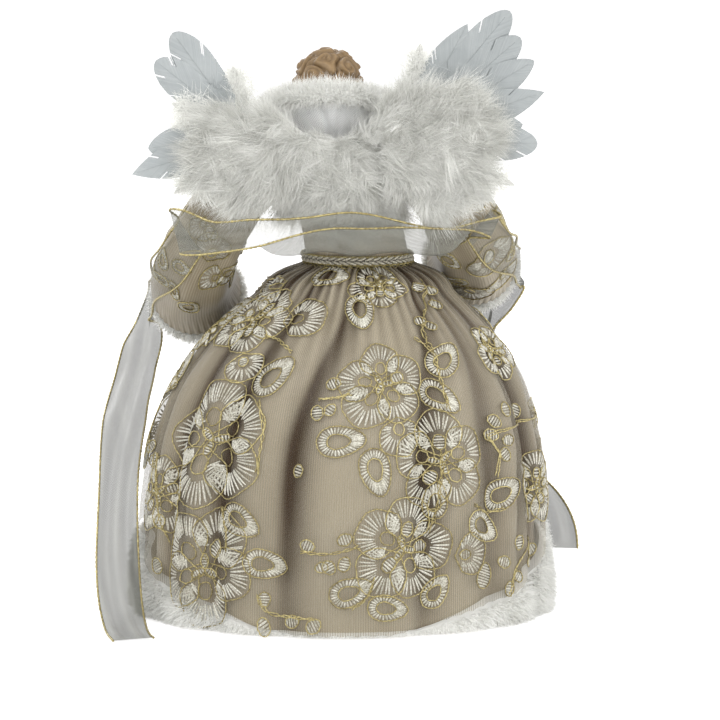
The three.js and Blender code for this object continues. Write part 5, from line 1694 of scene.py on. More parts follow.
@dataclass
class Arm(Surface):
    """A sleeve with its plush cuff, padding, hand and the ribbon over it."""

    label: str = "left"
    side: float = 1.0
    spread: float = 46.0
    drop: float = 73.0
    reach: float = 49.0
    start: float = 34.6
    shoulder_height: float = 240.0
    mouth_radius: float = 25.0
    gathers: int = 6
    gather_depth: float = 1.2
    cuff_ring: float = 20.0
    cuff_tube: float = 5.0
    seed: int = 41
    shares: tuple[tuple[float, float, float, float], ...] = (
        (0, 0, 0, 0.52), (0.18, -0.01, 0.03, 0.62), (0.46, -0.06, 0.17, 0.7),
        (0.72, -0.1, 0.38, 0.77), (0.91, -0.04, 0.59, 0.82), (1, 0.25, 0.75, 0.87),
        (1.03, 0.61, 0.87, 0.93), (1, 1, 1, 1))

    def __post_init__(self) -> None:
        """Works out the arm's middle line and the frames along it."""
        table = np.array(self.shares)
        centres = np.stack([
            self.side * (self.start + self.spread * table[:, 0]),
            -self.reach * table[:, 1],
            self.shoulder_height - self.drop * table[:, 2],
        ], 1)
        self.stations = np.linspace(0, 7, 141)
        self.middle = through(centres, self.stations)
        self.girth = through(table[:, 3:] * self.mouth_radius, self.stations)[:, 0]
        tangents = unit(np.gradient(self.middle, axis=0))
        first = np.array([self.side, 0, 0])
        self.tangents = unit(mix(first, tangents, smooth(self.stations / 1.0)[:, None]))
        ups = np.empty_like(self.tangents)
        current = UP.copy()
        for index, tangent in enumerate(self.tangents):
            current = unit(current - tangent * (current @ tangent))
            ups[index] = current
        self.ups = ups
        self.acrosses = np.cross(self.tangents, ups)
        self.outward = -1.0
        self.upward = -1.0
        self.step = (0.002, 0.02)
        self.wide_step = (0.3, 0.3)
        self.low = (0.0, 0.6)
        self.high = (FULL_TURN, 6.6)
        self.body = f"{self.label}_arm"

    def frame_at(self, station: Array) -> tuple[Array, Array, Array, Array, Array]:
        """Middle, tangent, up, across and radius at each station."""

        def at(values: Array) -> Array:
            """The value of a row at each station."""
            return np.stack([np.interp(station, self.stations, values[:, k]) for k in range(3)], -1)

        radius = np.interp(station, self.stations, self.girth)
        return (at(self.middle), unit(at(self.tangents)), unit(at(self.ups)),
                unit(at(self.acrosses)), radius)

    def at(self, u: Array, v: Array) -> Array:
        """The sleeve's points at a turn round it and a station along it."""
        middle, _, up, across, radius = self.frame_at(v)
        fade = np.sin(math.pi * np.clip(v, 0, 7) / 7)
        gather = self.gather_depth * fade * np.cos(self.gathers * u)
        crease = 0.55 * fade * np.sin(v * 4.2 + 2 * u) * np.sin(3 * u + v)
        ends = 0.5 * np.cos(38 * u) * (smooth((v - 6) / 1) + smooth((0.8 - v) / 0.8))
        size = (radius + gather + crease + ends * 0.8 - 0.3)[..., None]
        ring = across * np.cos(u)[..., None] + up * np.sin(u)[..., None]
        return middle + ring * size

    def sleeve(self) -> None:
        """Makes the sleeve."""
        angle = turns(200)[None]
        station = np.linspace(0, 7, 150)[:, None]
        grid = self.at(angle + 0 * station, station + 0 * angle)
        middle, tangent, _, _, _ = self.frame_at(np.zeros(1))
        cap = np.stack([middle + (grid[0] - middle) * share for share in (0.09, 0.4, 0.75)])
        mouth = self.middle[-1]
        inside = np.stack([
            mouth + (grid[-1] - mouth) * share - self.tangents[-1] * back
            for share, back in ((0.985, 0.2), (0.96, 3.0), (0.95, 9.0))
        ])
        whole = np.concatenate([cap, grid, inside])
        run = np.concatenate([[-9, -6, -3], np.linspace(0, 118, 150), [119, 122, 128]])
        flat = np.stack([angle * 20 + 0 * run[:, None], run[:, None] + 0 * angle], -1)
        sculpt = Sculpt()
        sculpt.sheet(whole, flat, True, 0.85)
        piece = sculpt.build(f"{self.label}_sleeve_cloth", SLEEVE_SATIN)
        set_in(piece, self.body, "tulle", f"{self.label}_sleeve")

    def embroidery(self, spots: tuple[Spot, ...]) -> None:
        """Makes the sleeve's needlework.

        Args:
            spots: The figures that the reference view shows.
        """
        work = Needlework(self, self.seed + 1)
        embroider(work, spots)
        for index in range(4):
            turn = 0.8 + self.side * 0.4 + index * 1.45
            place_motif(work, Motif.FAN, (turn, 1.8 + 1.1 * (index % 3)), 80 * index, 15)
            place_motif(work, Motif.LEAF, (turn + 0.7, 4.9 + 0.3 * (index % 2)), 60 * index, 16)
            place_motif(work, Motif.BUD, (turn + 0.4, 3.2), 50 * index, 8)
        for piece in work.build(f"{self.label}_sleeve"):
            set_in(piece, self.body, "tulle")

    def cuff_centre(self) -> Array:
        """The middle of the plush ring, a little past the sleeve's mouth."""
        reach = 7.3
        aside = self.mouth_radius - 1 - self.cuff_ring
        return self.middle[-1] + self.tangents[-1] * math.sqrt(reach ** 2 - aside ** 2)

    def cuff(self) -> None:
        """Makes the plush cuff."""
        tangent = self.tangents[-1]
        angle = turns(130)[:, None]
        out = self.acrosses[-1] * np.cos(angle) + self.ups[-1] * np.sin(angle)
        grid = np.stack([
            self.cuff_centre()
            + out * (self.cuff_ring + self.cuff_tube * math.cos(t))
            + tangent * self.cuff_tube * 1.1 * math.sin(t)
            for t in np.linspace(0, FULL_TURN, 25)
        ])
        sculpt = Sculpt()
        # The base takes a lower tone than the pile: painted shade deep in the pile
        sculpt.sheet(grid, None, True, 0.4)
        Pile(4.4, 2.6, 0.42, 0.9).grow(sculpt, grid, self.seed + 2, self.turned(grid))
        piece = sculpt.build(f"{self.label}_cuff_plush", PLUSH)
        set_in(piece, self.body, "plush", f"{self.label}_cuff_fur")

    def turned(self, grid: Array) -> float:
        """One if the ring's faces point out of its tube, and minus one if they point in."""
        first = grid[0, 1] - grid[0, 0]
        second = grid[1, 0] - grid[0, 0]
        away = grid[0, 0] - self.cuff_centre()
        return 1.0 if np.dot(np.cross(first, second), away) > 0 else -1.0

    def padding(self) -> None:
        """Makes the wadding round the arm's wire."""
        station = np.linspace(1.3, 6.9, 60)
        middle, _, _, _, _ = self.frame_at(station)
        ends = np.minimum(smooth((station - 1.3) * 2), smooth((6.9 - station) * 3))
        radius = 6.4 * np.maximum(ends, 0.12) + 0.3 * np.sin(station * 9)
        sculpt = Sculpt()
        sculpt.tube(middle, radius, 28, None, False, 0.6)
        piece = sculpt.build(f"{self.label}_arm_wadding", WADDING)
        set_in(piece, self.body, "wadding", f"{self.label}_arm_padding")

    def hand(self) -> None:
        """Makes the hand: a palm, a thumb and four fingers melted into one skin."""
        tangent = self.tangents[-1]
        across = unit(np.array([1.0, 0, 0]) - tangent * tangent[0])
        normal = np.cross(across, tangent)
        start = self.middle[-1] + tangent * 5.3

        def place(local: Array) -> Array:
            """Points of the hand in the part's own frame."""
            return start + local[:, :1] * across + local[:, 1:2] * tangent + local[:, 2:] * normal

        sculpt = Sculpt()
        run = np.linspace(0, 1, 20)
        wide = np.interp(run, [0, 0.3, 0.55, 0.85, 1], [3.9, 4.0, 5.6, 5.7, 3.6])
        thick = np.interp(run, [0, 0.3, 0.6, 1], [3.4, 3.2, 2.7, 1.7])
        turn = turns(28)
        rings = [
            place(np.stack([w * np.cos(turn), np.full(28, 17.5 * r), t * np.sin(turn)], 1))
            for r, w, t in zip(run, wide, thick)
        ]
        ends = [np.repeat(place(np.array([[0, reach, 0.0]])), 28, 0) for reach in (0, 17.8)]
        sculpt.sheet(np.stack([ends[0], *rings, ends[1]]), None, True, 0.75)
        share = np.linspace(0, 1, 10)
        blunt = np.sqrt(1.02 - share ** 8)
        for index in range(4):
            base = (index - 1.5) * 2.7
            length = [8.2, 9.4, 9.0, 7.4][index if self.side > 0 else 3 - index]
            local = np.stack([base * (1 + 0.14 * share), 15.5 + length * share,
                              -0.3 - 3.6 * share ** 1.7], 1)
            sculpt.tube(place(local), mix(1.6, 1.15, share) * blunt, 12, None, False, 0.75)
        inner = -self.side
        local = np.stack([inner * (4.2 + 5.2 * share), 8.5 + 7 * share, -0.4 - 1.4 * share], 1)
        sculpt.tube(place(local), mix(1.9, 1.25, share) * blunt, 12, None, False, 0.75)
        piece = sculpt.build(f"{self.label}_doll_hand", HAND_SKIN)
        melt = piece.modifiers.new("melt", "REMESH")
        melt.mode = "VOXEL"
        melt.voxel_size = 0.4 * MM
        melt.use_smooth_shade = True
        piece.modifiers.new("ease", "SMOOTH").iterations = 6
        graph = bpy.context.evaluated_depsgraph_get()
        mesh = bpy.data.meshes.new_from_object(piece.evaluated_get(graph))
        piece.modifiers.clear()
        piece.data = mesh
        tone = mesh.attributes.new("tone", "FLOAT", "POINT")
        tone.data.foreach_set("value", np.full(len(mesh.vertices), 0.75))
        set_in(piece, self.body, "skin", f"{self.label}_hand")


@dataclass
class Ribbon:
    """The sheer ribbon with gold cord edges, in stretches that meet end to end."""

    width: float = 22.0
    hem_radius: float = 114.0
    waist_height: float = 190.0
    lead: float = 9.0
    gap: float = 0.3
    lift: float = 1.2
    cord_radius: float = 0.6
    hug: float = 0.024
    edge_ease: float = 9.0
    smoothing: int = 24
    back: tuple[Triple, ...] = (
        (0.8, 0.31, 1.1), (0.66, 0.35, 1.095), (0.4, 0.378, 1.092), (0.12, 0.385, 1.092),
        (-0.16, 0.385, 1.092), (-0.42, 0.375, 1.095), (-0.62, 0.33, 1.1), (-0.74, 0.27, 1.105))
    left_tail: tuple[Triple, ...] = (
        (0.96, -0.63, 0.785), (0.98, -0.6, 0.71), (1.01, -0.45, 0.64), (1.04, -0.2, 0.575),
        (1.053, 0.018, 0.49), (1.061, 0.219, 0.368), (1.061, 0.368, 0.21), (1.044, 0.526, 0.084),
        (1.009, 0.7, 0.016), (0.965, 0.86, 0.0045))
    right_tail: tuple[Triple, ...] = (
        (-0.737, -0.632, 0.8), (-0.693, -0.719, 0.674), (-0.702, -0.737, 0.537),
        (-0.772, -0.702, 0.41), (-0.895, -0.596, 0.305), (-1.0, -0.5, 0.232),
        (-1.053, -0.439, 0.168), (-1.053, -0.386, 0.126))
    turn_start_shares: Pair = (0.0, 0.55)
    tail_lengths: Pair = (0.255, 0.178)
    top_edge: tuple[Pair, ...] = (
        (-76.3, 217.0), (-59.4, 212.0), (-36.5, 214.8), (-24.5, 219.2), (-2.7, 222.5),
        (21.8, 218.0), (47.4, 218.0), (73.6, 214.8), (87.2, 227.9))
    low_edge: tuple[Pair, ...] = (
        (-75.0, 212.0), (-55.0, 212.6), (-38.2, 214.3), (-16.4, 213.2), (6.5, 213.7),
        (22.9, 210.5), (41.4, 203.9), (60.0, 200.1), (84.5, 197.4))
    fold_height: float = 199.0
    fold_share: float = 0.62
    fold_ends: Pair = (-72.0, 52.0)
    fold_ease: float = 14.0
    layer_gap: float = 2.4
    loop: tuple[Pair, ...] = ((3.7, 58), (4.2, 40), (4.8, 22), (5.6, 9), (6.4, 2),
                                             (7, 0))

    def sized(self, shares: tuple[Triple, ...]) -> Array:
        """A table of places as points."""
        return np.array(shares) * [self.hem_radius, self.hem_radius, self.waist_height]

    def edge(self, x: Array, table: tuple[Pair, ...]) -> Array:
        """The height of a cord across the back, with no corner at the table's places."""
        shifts = np.linspace(-self.edge_ease, self.edge_ease, 9)
        return np.mean([np.interp(x + shift, *np.array(table).T) for shift in shifts], axis=0)

    def over_sleeve(self, arm: Arm) -> tuple[Array, Array, Array]:
        """The ribbon's line over a sleeve, and the directions of its width and its face there.

        Args:
            arm: The arm that it lies on.

        Returns:
            The points, the width's directions and the directions away from the sleeve.
        """
        side = arm.side

        def outward_of(tangent: Array) -> Array:
            """The outward direction square to the sleeve."""
            return unit(np.array([side, 0, 0]) - tangent * side * tangent[0])

        points, radials = [], []
        for station, turn in self.loop:
            middle, tangent, _, _, radius = arm.frame_at(np.array([float(station)]))
            outward = outward_of(tangent[0])
            behind = -side * np.cross(tangent[0], outward)
            angle = math.radians(turn)
            radial = outward * math.cos(angle) + behind * math.sin(angle)
            points.append(middle[0] + radial * (radius[0] + arm.gather_depth + self.lift))
            radials.append(radial)
        outward = outward_of(arm.tangents[-1])
        for along in (0.0, 7.0):
            centre = arm.cuff_centre() + arm.tangents[-1] * along
            points.append(centre + outward * (arm.cuff_ring + 7 + self.lift))
            radials.append(outward)
        line = np.array(points)
        ways = unit(np.gradient(line, axis=0))
        return line, unit(np.cross(ways, np.array(radials))), np.array(radials)

    def stretch(self, name: str, line: Array, across: Array, waves: float, seed: int,
                away: Array | None = None) -> tuple[Piece, Piece]:
        """Makes one stretch of ribbon and the cords on its edges.

        Args:
            name: The start of both pieces' names.
            line: The ribbon's middle line.
            across: The direction of its width at each point.
            waves: How far its edges wander.
            seed: The generator's seed.
            away: The direction away from a round form that its edges bend in to, or None.

        Returns:
            The ribbon and its cords.
        """
        random = np.random.default_rng(seed)
        count = len(line)
        bent = np.zeros_like(line) if away is None else away * -self.hug
        run = np.arange(count)
        ways = unit(np.gradient(line, axis=0))
        flat = unit(across - ways * (across * ways).sum(1, keepdims=True))
        normal = np.cross(ways, flat)
        phases = random.uniform(0, FULL_TURN, 4)
        ends = np.minimum(smooth(run / 10), smooth((count - 1 - run) / 10))
        rows = []
        for lane in np.linspace(-1, 1, 15):
            wander = waves * ends * (np.sin(run * 0.13 + phases[0] + lane) + 0.6 * np.sin(
                run * 0.31 + phases[1] - 2 * lane))
            pinch = 1 + 0.05 * ends * np.sin(run * 0.09 + phases[2])
            curl = 0.8 * ends * waves * (lane ** 2) * np.sin(run * 0.07 + phases[3])
            pleats = 2.3 * ends * waves * np.sin(6.5 * lane + 2 * np.sin(run * 0.04))
            rows.append(line + flat * (lane * self.width / 2 * pinch)[:, None]
                        + normal * (wander + (curl + pleats))[:, None]
                        + bent * (ends * (lane * self.width / 2) ** 2)[:, None])
        finish = ORGANZA if away is not None else ORGANZA_LAYERS
        return self.woven(name, np.stack(rows, 1), self.width, random, finish)

    def woven(self, name: str, grid: Array, width: float, random: Random,
              finish: Cloth = ORGANZA_FOLDED) -> tuple[Piece, Piece]:
        """Makes a stretch of ribbon through a grid of points, and the cords on its edges.

        Args:
            name: The start of both pieces' names.
            grid: The points, along the ribbon by across it.
            width: The ribbon's flat width.
            random: The seeded generator.
            finish: What the ribbon is made of.

        Returns:
            The ribbon and its cords.
        """
        for _ in range(self.smoothing):
            eased = (grid[:-2] + 2 * grid[1:-1] + grid[2:]) / 4
            grid = np.concatenate([grid[:1], eased, grid[-1:]])
        lengths = run_along(grid[:, grid.shape[1] // 2])
        lanes = np.linspace(-width / 2, width / 2, grid.shape[1])
        place = np.stack(np.broadcast_arrays(lanes[None], lengths[:, None]), -1)
        aside, along = place[..., 0], place[..., 1]
        streaks = np.sin(0.55 * aside + 0.05 * along + 1.4 * np.sin(0.06 * along))
        streaks = streaks * np.sin(0.045 * along + 0.2 * aside)
        sculpt = Sculpt()
        sculpt.sheet(grid, place, False, 0.72 + 0.28 * streaks)
        ribbon = sculpt.build(name, finish)
        cords = Sculpt()
        for row in (grid[:, 0], grid[:, -1]):
            path = evenly(row, int(lengths[-1] / 0.9) + 4)
            beads = self.cord_radius * (1 + 0.25 * np.cos(np.arange(len(path)) * math.pi / 1.5))
            cords.tube(path, beads, 6, None, False, random.uniform(0.3, 0.7))
        edge = cords.build(f"{name}_gold", GOLD)
        return ribbon, edge

    def build(self, left: Arm, right: Arm) -> None:
        """Makes the whole ribbon.

        Args:
            left: The left arm.
            right: The right arm.
        """
        ends = {}
        for arm in (left, right):
            line, across, away = self.over_sleeve(arm)
            places = np.linspace(0, len(line) - 1, 60)
            pieces = self.stretch(f"{arm.label}_ribbon_over_sleeve", through(line, places),
                                  unit(through(across, places)), 0.0, 51,
                                  unit(through(away, places)))
            for piece in pieces:
                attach(piece, arm.body)
            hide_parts(f"{arm.label}_ribbon_loop")
            ends[arm.label] = (line, across)
        self.across_back(ends)
        left_start, right_start = self.turn_start_shares
        self.tail("left", ends["left"], self.left_tail, 1.0, left_start)
        self.tail("right", ends["right"], self.right_tail, -1.0, right_start)

    def across_back(self, ends: dict[str, tuple[Array, Array]]) -> None:
        """Makes the stretch across the back, in halves that each follow one arm.

        Args:
            ends: The line and the width's directions over each sleeve.
        """
        starts = {}
        for label, (line, across) in ends.items():
            along = unit(line[0] - line[1])
            upright = across[0] * np.sign(across[0][2])
            starts[label] = (line[0] + along * self.gap, line[0] + along * self.lead, upright)
        middle = self.sized(self.back)
        points = np.concatenate([
            [starts["left"][0], starts["left"][1]], middle,
            [starts["right"][1], starts["right"][0]],
        ])
        count = 240
        line = evenly(points, count)
        share = np.linspace(0, 1, count)[:, None]
        near = np.where(share < 0.5, starts["left"][2], starts["right"][2])
        turned = smooth(np.minimum(share, 1 - share) / 0.3)
        across = unit(mix(near, UP, turned))
        lanes = np.linspace(0, 1, 27)
        plain = line[:, None] + across[:, None] * ((0.5 - lanes) * self.width)[None, :, None]
        settled = smooth(np.minimum(share, 1 - share) / 0.2)[..., None]
        grid = mix(plain, self.folded(line, lanes), settled)
        half = count // 2
        random = np.random.default_rng(52)
        for label, part in (("left", slice(0, half + 1)), ("right", slice(half, count))):
            piece, edge = self.woven(f"ribbon_back_{label}", grid[part], 1.6 * self.width, random)
            for made in (piece, edge):
                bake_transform(made)
            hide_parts("ribbon_back")

    def folded(self, line: Array, lanes: Array) -> Array:
        """The ribbon folded up on itself behind the waist, so that both cords lie high.

        Args:
            line: The middle line of the stretch across the back.
            lanes: The shares of the width, from the upper cord to the lower.

        Returns:
            The points, along the ribbon by across it.
        """
        x = line[:, :1]
        top = self.edge(x, self.top_edge)
        low = self.edge(x, self.low_edge)
        first, last = self.fold_ends
        inside = smooth((x - first) / self.fold_ease) * smooth((last - x) / self.fold_ease)
        down = np.clip(lanes / self.fold_share, 0, 1)
        back_up = np.clip((lanes - self.fold_share) / (1 - self.fold_share), 0, 1)
        foot = self.fold_height + 1.2 * np.sin(x * 0.16)
        doubled = mix(mix(top, foot, down), low, back_up)
        z = mix(mix(top, low, lanes), doubled, inside)
        outer = self.layer_gap * inside * smooth((lanes - self.fold_share + 0.1) / 0.2)
        waves = 0.9 * np.sin(x * 0.21 + 4 * lanes) + 0.5 * np.sin(x * 0.47 - 7 * lanes)
        falls = 0.2 * np.clip(line[:, 2:] - z, 0, None)
        return np.stack([x + 0 * z, line[:, 1:2] + outer + waves - falls, z], -1)

    def tail(self, label: str, end: tuple[Array, Array],
             shares: tuple[Triple, ...], side: float,
             turn_start_share: float) -> None:
        """Makes one of the tails.

        Args:
            label: Which arm it comes from.
            end: The line and the width's directions over that arm's sleeve.
            shares: The places that it passes.
            side: One for the left and minus one for the right.
            turn_start_share: Where along it its width starts to turn sideways.
        """
        line, across = end
        along = unit(line[-1] - line[-2])
        points = np.concatenate([
            [line[-1] + along * self.gap, line[-1] + along * self.lead], self.sized(shares)])
        count = 170
        path = evenly(points, count)
        turned = smooth((np.linspace(0, 1, count) - turn_start_share) / 0.3)[:, None]
        width_way = unit(mix(across[-1], np.array([side, 0, 0]), turned))
        piece, edge = self.stretch(f"ribbon_{label}_tail_cloth", path, width_way, 1.0, 53)
        for made in (piece, edge):
            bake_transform(made)
        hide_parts(f"ribbon_{label}_tail")


@dataclass(frozen=True)
class Feather:
    """One feather's sizes. Its depth is how far behind the card it lies."""

    angle: float
    depth: float
    length: float
    tip: float
    fluffy: bool


@dataclass
class Wing:
    """A fan of feathers with down over its root."""

    label: str = "left"
    side: float = 1.0
    fan: Pair = (50.0, 261.0)
    angles: tuple[float, ...] = (77.5, 54.5, 40, 24, 7, -6, -17.3, -37)
    lengths: tuple[float, ...] = (0.48, 0.86, 0.8, 0.56, 0.52, 0.67, 0.81, 0.62)
    tips: tuple[float, ...] = (0.5, 0.9, 0.9, 0.4, 0.5, 0.6, 0.1, 0.5)
    span: float = 80.0
    sweep: float = 12.0
    feather_start: float = 2.0
    feather_width: float = 20.0
    shaft: float = 1.0
    gap: float = 0.3
    card_back: float = 24.475
    barbs: int = 105
    fluffy: tuple[int, ...] = (0, 3, 4, 7)
    fluffy_width_share: float = 0.4
    seed: int = 61

    def swept(self, distance: Array) -> Array:
        """How far back the fan curves at a distance."""
        return self.sweep * (distance / self.span) ** 2

    def placed(self, feather: "Feather", run: Array, aside: Array, lift: Array) -> Array:
        """Points of a feather.

        Args:
            feather: The feather.
            run: The distance from the fan's middle.
            aside: The distance from the shaft.
            lift: The distance behind the feather's own middle plane.

        Returns:
            The points.
        """
        turn = math.radians(feather.angle)
        along = np.array([self.side * math.cos(turn), math.sin(turn)])
        across = np.array([-self.side * math.sin(turn), math.cos(turn)])
        flat = run[..., None] * along + aside[..., None] * across
        back = self.card_back + feather.depth + lift + self.swept(run)
        return np.stack([self.side * self.fan[0] + flat[..., 0], back,
                         self.fan[1] + flat[..., 1]], -1)

    def half_width(self, share: Array, tip: float) -> Array:
        """The vane's half width along a feather.

        Args:
            share: The share of the feather's length.
            tip: How round its tip is, from 0, pointed, to 1.

        Returns:
            The half width.
        """
        body = np.interp(share, [0, 0.12, 0.28, 0.48, 0.62], [0.08, 0.2, 0.66, 0.95, 1])
        start = mix(0.5, 0.7, tip)
        past = np.clip((share - start) / (1 - start), 0, 1)
        return body * (1 - past ** 2) ** mix(1.05, 0.5, tip) * self.feather_width / 2

    def feather(self, layer: int) -> None:
        """Makes one feather: a shaft, and barbs on both sides of it.

        Args:
            layer: Which feather, the lowest layer first.
        """
        random = np.random.default_rng(self.seed + layer)
        depth = self.gap + self.shaft / 2 + layer * (self.shaft + self.gap)
        feather = Feather(self.angles[layer], depth, self.lengths[layer] * self.span,
                          self.tips[layer], layer in self.fluffy)
        sculpt = Sculpt()
        share = np.linspace(0, 0.95, 30)
        run = mix(self.feather_start, feather.length, share)
        spine = self.placed(feather, run, 0 * run, 0.05 + 0 * run)
        sculpt.tube(spine, mix(0.4, 0.08, share), 6, None, False, 0.55)
        for way in (-1.0, 1.0):
            self.vane(sculpt, random, feather, way)
        self.after_feather(sculpt, random, feather)
        finish = DOWN if feather.fluffy else FEATHER
        piece = sculpt.build(f"{self.label}_plume_{layer + 1}", finish)
        set_in(piece, "root", "feather", f"{self.label}_feather_{layer + 1}")

    def vane(self, sculpt: Sculpt, random: Random, feather: "Feather", way: float) -> None:
        """Adds the barbs of one side.

        Args:
            sculpt: The feather that gets them.
            random: The seeded generator.
            feather: Its sizes.
            way: Minus one for one side of the shaft and one for the other.
        """
        length = feather.length
        wide = self.fluffy_width_share if feather.fluffy else 1.0
        count = max(40, int(self.barbs * length / self.span))
        edge = np.linspace(0.14, 1.0, count)
        half = self.half_width(edge, feather.tip) * wide * (1 + random.normal(0, 0.008, count))
        splits = random.uniform(0.45, 0.93, 2)
        opened = sum(np.exp(-np.clip(edge - s, 0, None) * 30) * (edge > s) for s in splits)
        end = mix(self.feather_start, length, edge) + 0.01 * length * opened * (1 - edge)
        slant = np.radians(mix(50.0, 27.0, smooth((edge - 0.3) / 0.7)))
        root = np.maximum(end - half / np.tan(slant), self.feather_start)
        share = np.linspace(0, 1, 6)[None]
        run = mix(root[:, None], end[:, None], share)
        aside = half[:, None] * share ** 0.88
        camber = -1.5 * (aside / (self.feather_width / 2)) ** 2
        ridge = 0.05 * np.cos(np.arange(count) * math.pi)[:, None]
        lift = camber + (random.normal(0, 0.03, (count, 1)) + ridge) * share
        grid = self.placed(feather, run, way * aside, lift)
        joined = np.ones((count - 1, 5), bool)
        joined[np.searchsorted(edge, splits) - 1, 3:] = False
        faces = quads(count, 6)[joined.ravel()]
        shade = 0.6 + 0.08 * np.cos(np.arange(count) * math.pi) + random.normal(0, 0.07, count)
        sculpt.add(grid.reshape(-1, 3), [faces], np.repeat(np.clip(shade, 0, 1), 6))

    def after_feather(self, sculpt: Sculpt, random: Random, feather: "Feather") -> None:
        """Adds the loose downy barbs at the feather's foot, or all along a fluffy one.

        Args:
            sculpt: The feather that gets them.
            random: The seeded generator.
            feather: Its sizes.
        """
        fluffy = feather.fluffy
        count = 1500 if fluffy else 260
        run = random.uniform(0.08, 0.9 if fluffy else 0.5, count) * feather.length
        aside = random.normal(0, 3.6 if fluffy else 2.5, count)
        roots = self.placed(feather, run, aside, random.uniform(0, 0.6, count))
        along = unit(self.placed(feather, run + 1, aside, np.zeros(count)) - roots)
        out = random.normal(0, 0.8, (count, 3)) * [1, 0.25, 1]
        headings = unit(along + out) * random.uniform(5, 11, (count, 1))
        bend = random.normal(0, 2.0, (count, 3)) * [1, 0.4, 1]
        facing = np.tile([0.0, 1.0, 0.0], (count, 1)) + random.normal(0, 0.3, (count, 3))
        tone = np.clip(random.normal(1.1 if fluffy else 0.75, 0.2, count), 0, 1.4)
        sculpt.strands(roots, headings, bend, 0.28, facing, 3, tone)

    def build(self) -> None:
        """Makes all the feathers."""
        for layer in range(len(self.angles)):
            self.feather(layer)


@dataclass
class DownPatch:
    """A cushion of marabou down: tufts of long soft strands over a shaped base."""

    name: str
    node: str
    middle: Pair
    half_width: float
    half_height: float
    base: float
    thickness: float
    fan: Pair | None
    tufts: int = 520
    strands: int = 40
    seed: int = 81
    span: float = 80.0
    sweep: float = 12.0
    source: Pair = (2.0, 262.0)

    def back(self, x: Array, z: Array, share: Array) -> Array:
        """How far back the cushion's surface is.

        Args:
            x: Across the wings.
            z: The height.
            share: The share of the way from the cushion's middle to its edge.

        Returns:
            The depth.
        """
        swept = 0.0
        if self.fan:
            swept = self.sweep * ((x - self.fan[0]) ** 2 + (z - self.fan[1]) ** 2) / self.span ** 2
        crown = np.sqrt(np.clip(1 - share ** 2, 0, 1))
        return self.base + self.thickness * 0.72 * crown + swept

    def build(self) -> None:
        """Makes the cushion."""
        random = np.random.default_rng(self.seed)
        sculpt = Sculpt()
        angle = turns(72)[None]
        share = np.linspace(0.02, 0.72, 16)[:, None]
        x = self.middle[0] + self.half_width * share * np.cos(angle)
        z = self.middle[1] + self.half_height * share * np.sin(angle)
        y = self.back(x, z, share + 0 * angle) - 2.4 + 0.5 * np.sin(x * 0.7) * np.sin(z * 0.6)
        sculpt.sheet(np.stack([x, y, z], -1), None, True, 0.7)
        count = self.tufts
        way = random.uniform(0, FULL_TURN, count)
        ragged = 0.86 + 0.1 * np.sin(3 * way + self.seed) + 0.08 * np.sin(7 * way)
        radius = np.sqrt(random.random(count)) * ragged
        tx = self.middle[0] + self.half_width * radius * np.cos(way)
        tz = self.middle[1] + self.half_height * radius * np.sin(way)
        order = np.argsort(-radius)
        tx, tz, radius = tx[order], tz[order], radius[order]
        ty = self.back(tx, tz, radius) - mix(1.8, 0.6, np.linspace(0, 1, count))
        flow = unit(np.stack([tx - self.source[0], 0 * tx, tz - self.source[1]], 1))
        flow = unit(flow + random.normal(0, 0.6, (count, 3)) * [1, 0, 1] + [0, 0.25, 0])
        each = self.strands
        fan = random.normal(0, 1, (count * each, 2))
        roots = np.repeat(np.stack([tx, ty, tz], 1), each, 0)
        roots = roots + random.normal(0, 1.5, roots.shape) * [1, 0.2, 1]
        aside = np.repeat(np.stack([-flow[:, 2], 0 * tx, flow[:, 0]], 1), each, 0)
        heading = np.repeat(flow, each, 0) + aside * fan[:, :1] * 0.32
        heading[:, 1] += 0.16 * fan[:, 1]
        size = np.repeat(random.uniform(0.7, 1.25, count), each)
        length = random.uniform(8, 16, len(roots)) * size
        tuft_bend = np.repeat(random.normal(0, 3.2, (count, 3)) * [1, 0.3, 1], each, 0)
        bend = tuft_bend - aside * fan[:, :1] + [0, -1.6, -1.0]
        bend = bend + random.normal(0, 0.9, roots.shape) * [1, 0.4, 1]
        facing = random.normal(0, 0.4, roots.shape) + [0, 1, 0]
        tone = np.repeat(random.normal(0.7, 0.17, count), each)
        tone = tone - 0.06 * np.abs(fan[:, 0]) + random.normal(0.03, 0.08, len(roots))
        sculpt.strands(roots, unit(heading) * length[:, None], bend, 0.24, facing, 4,
                       np.clip(tone, 0, 1), 0.8)
        set_in(sculpt.build(self.name, DOWN), "root", "down", self.node)


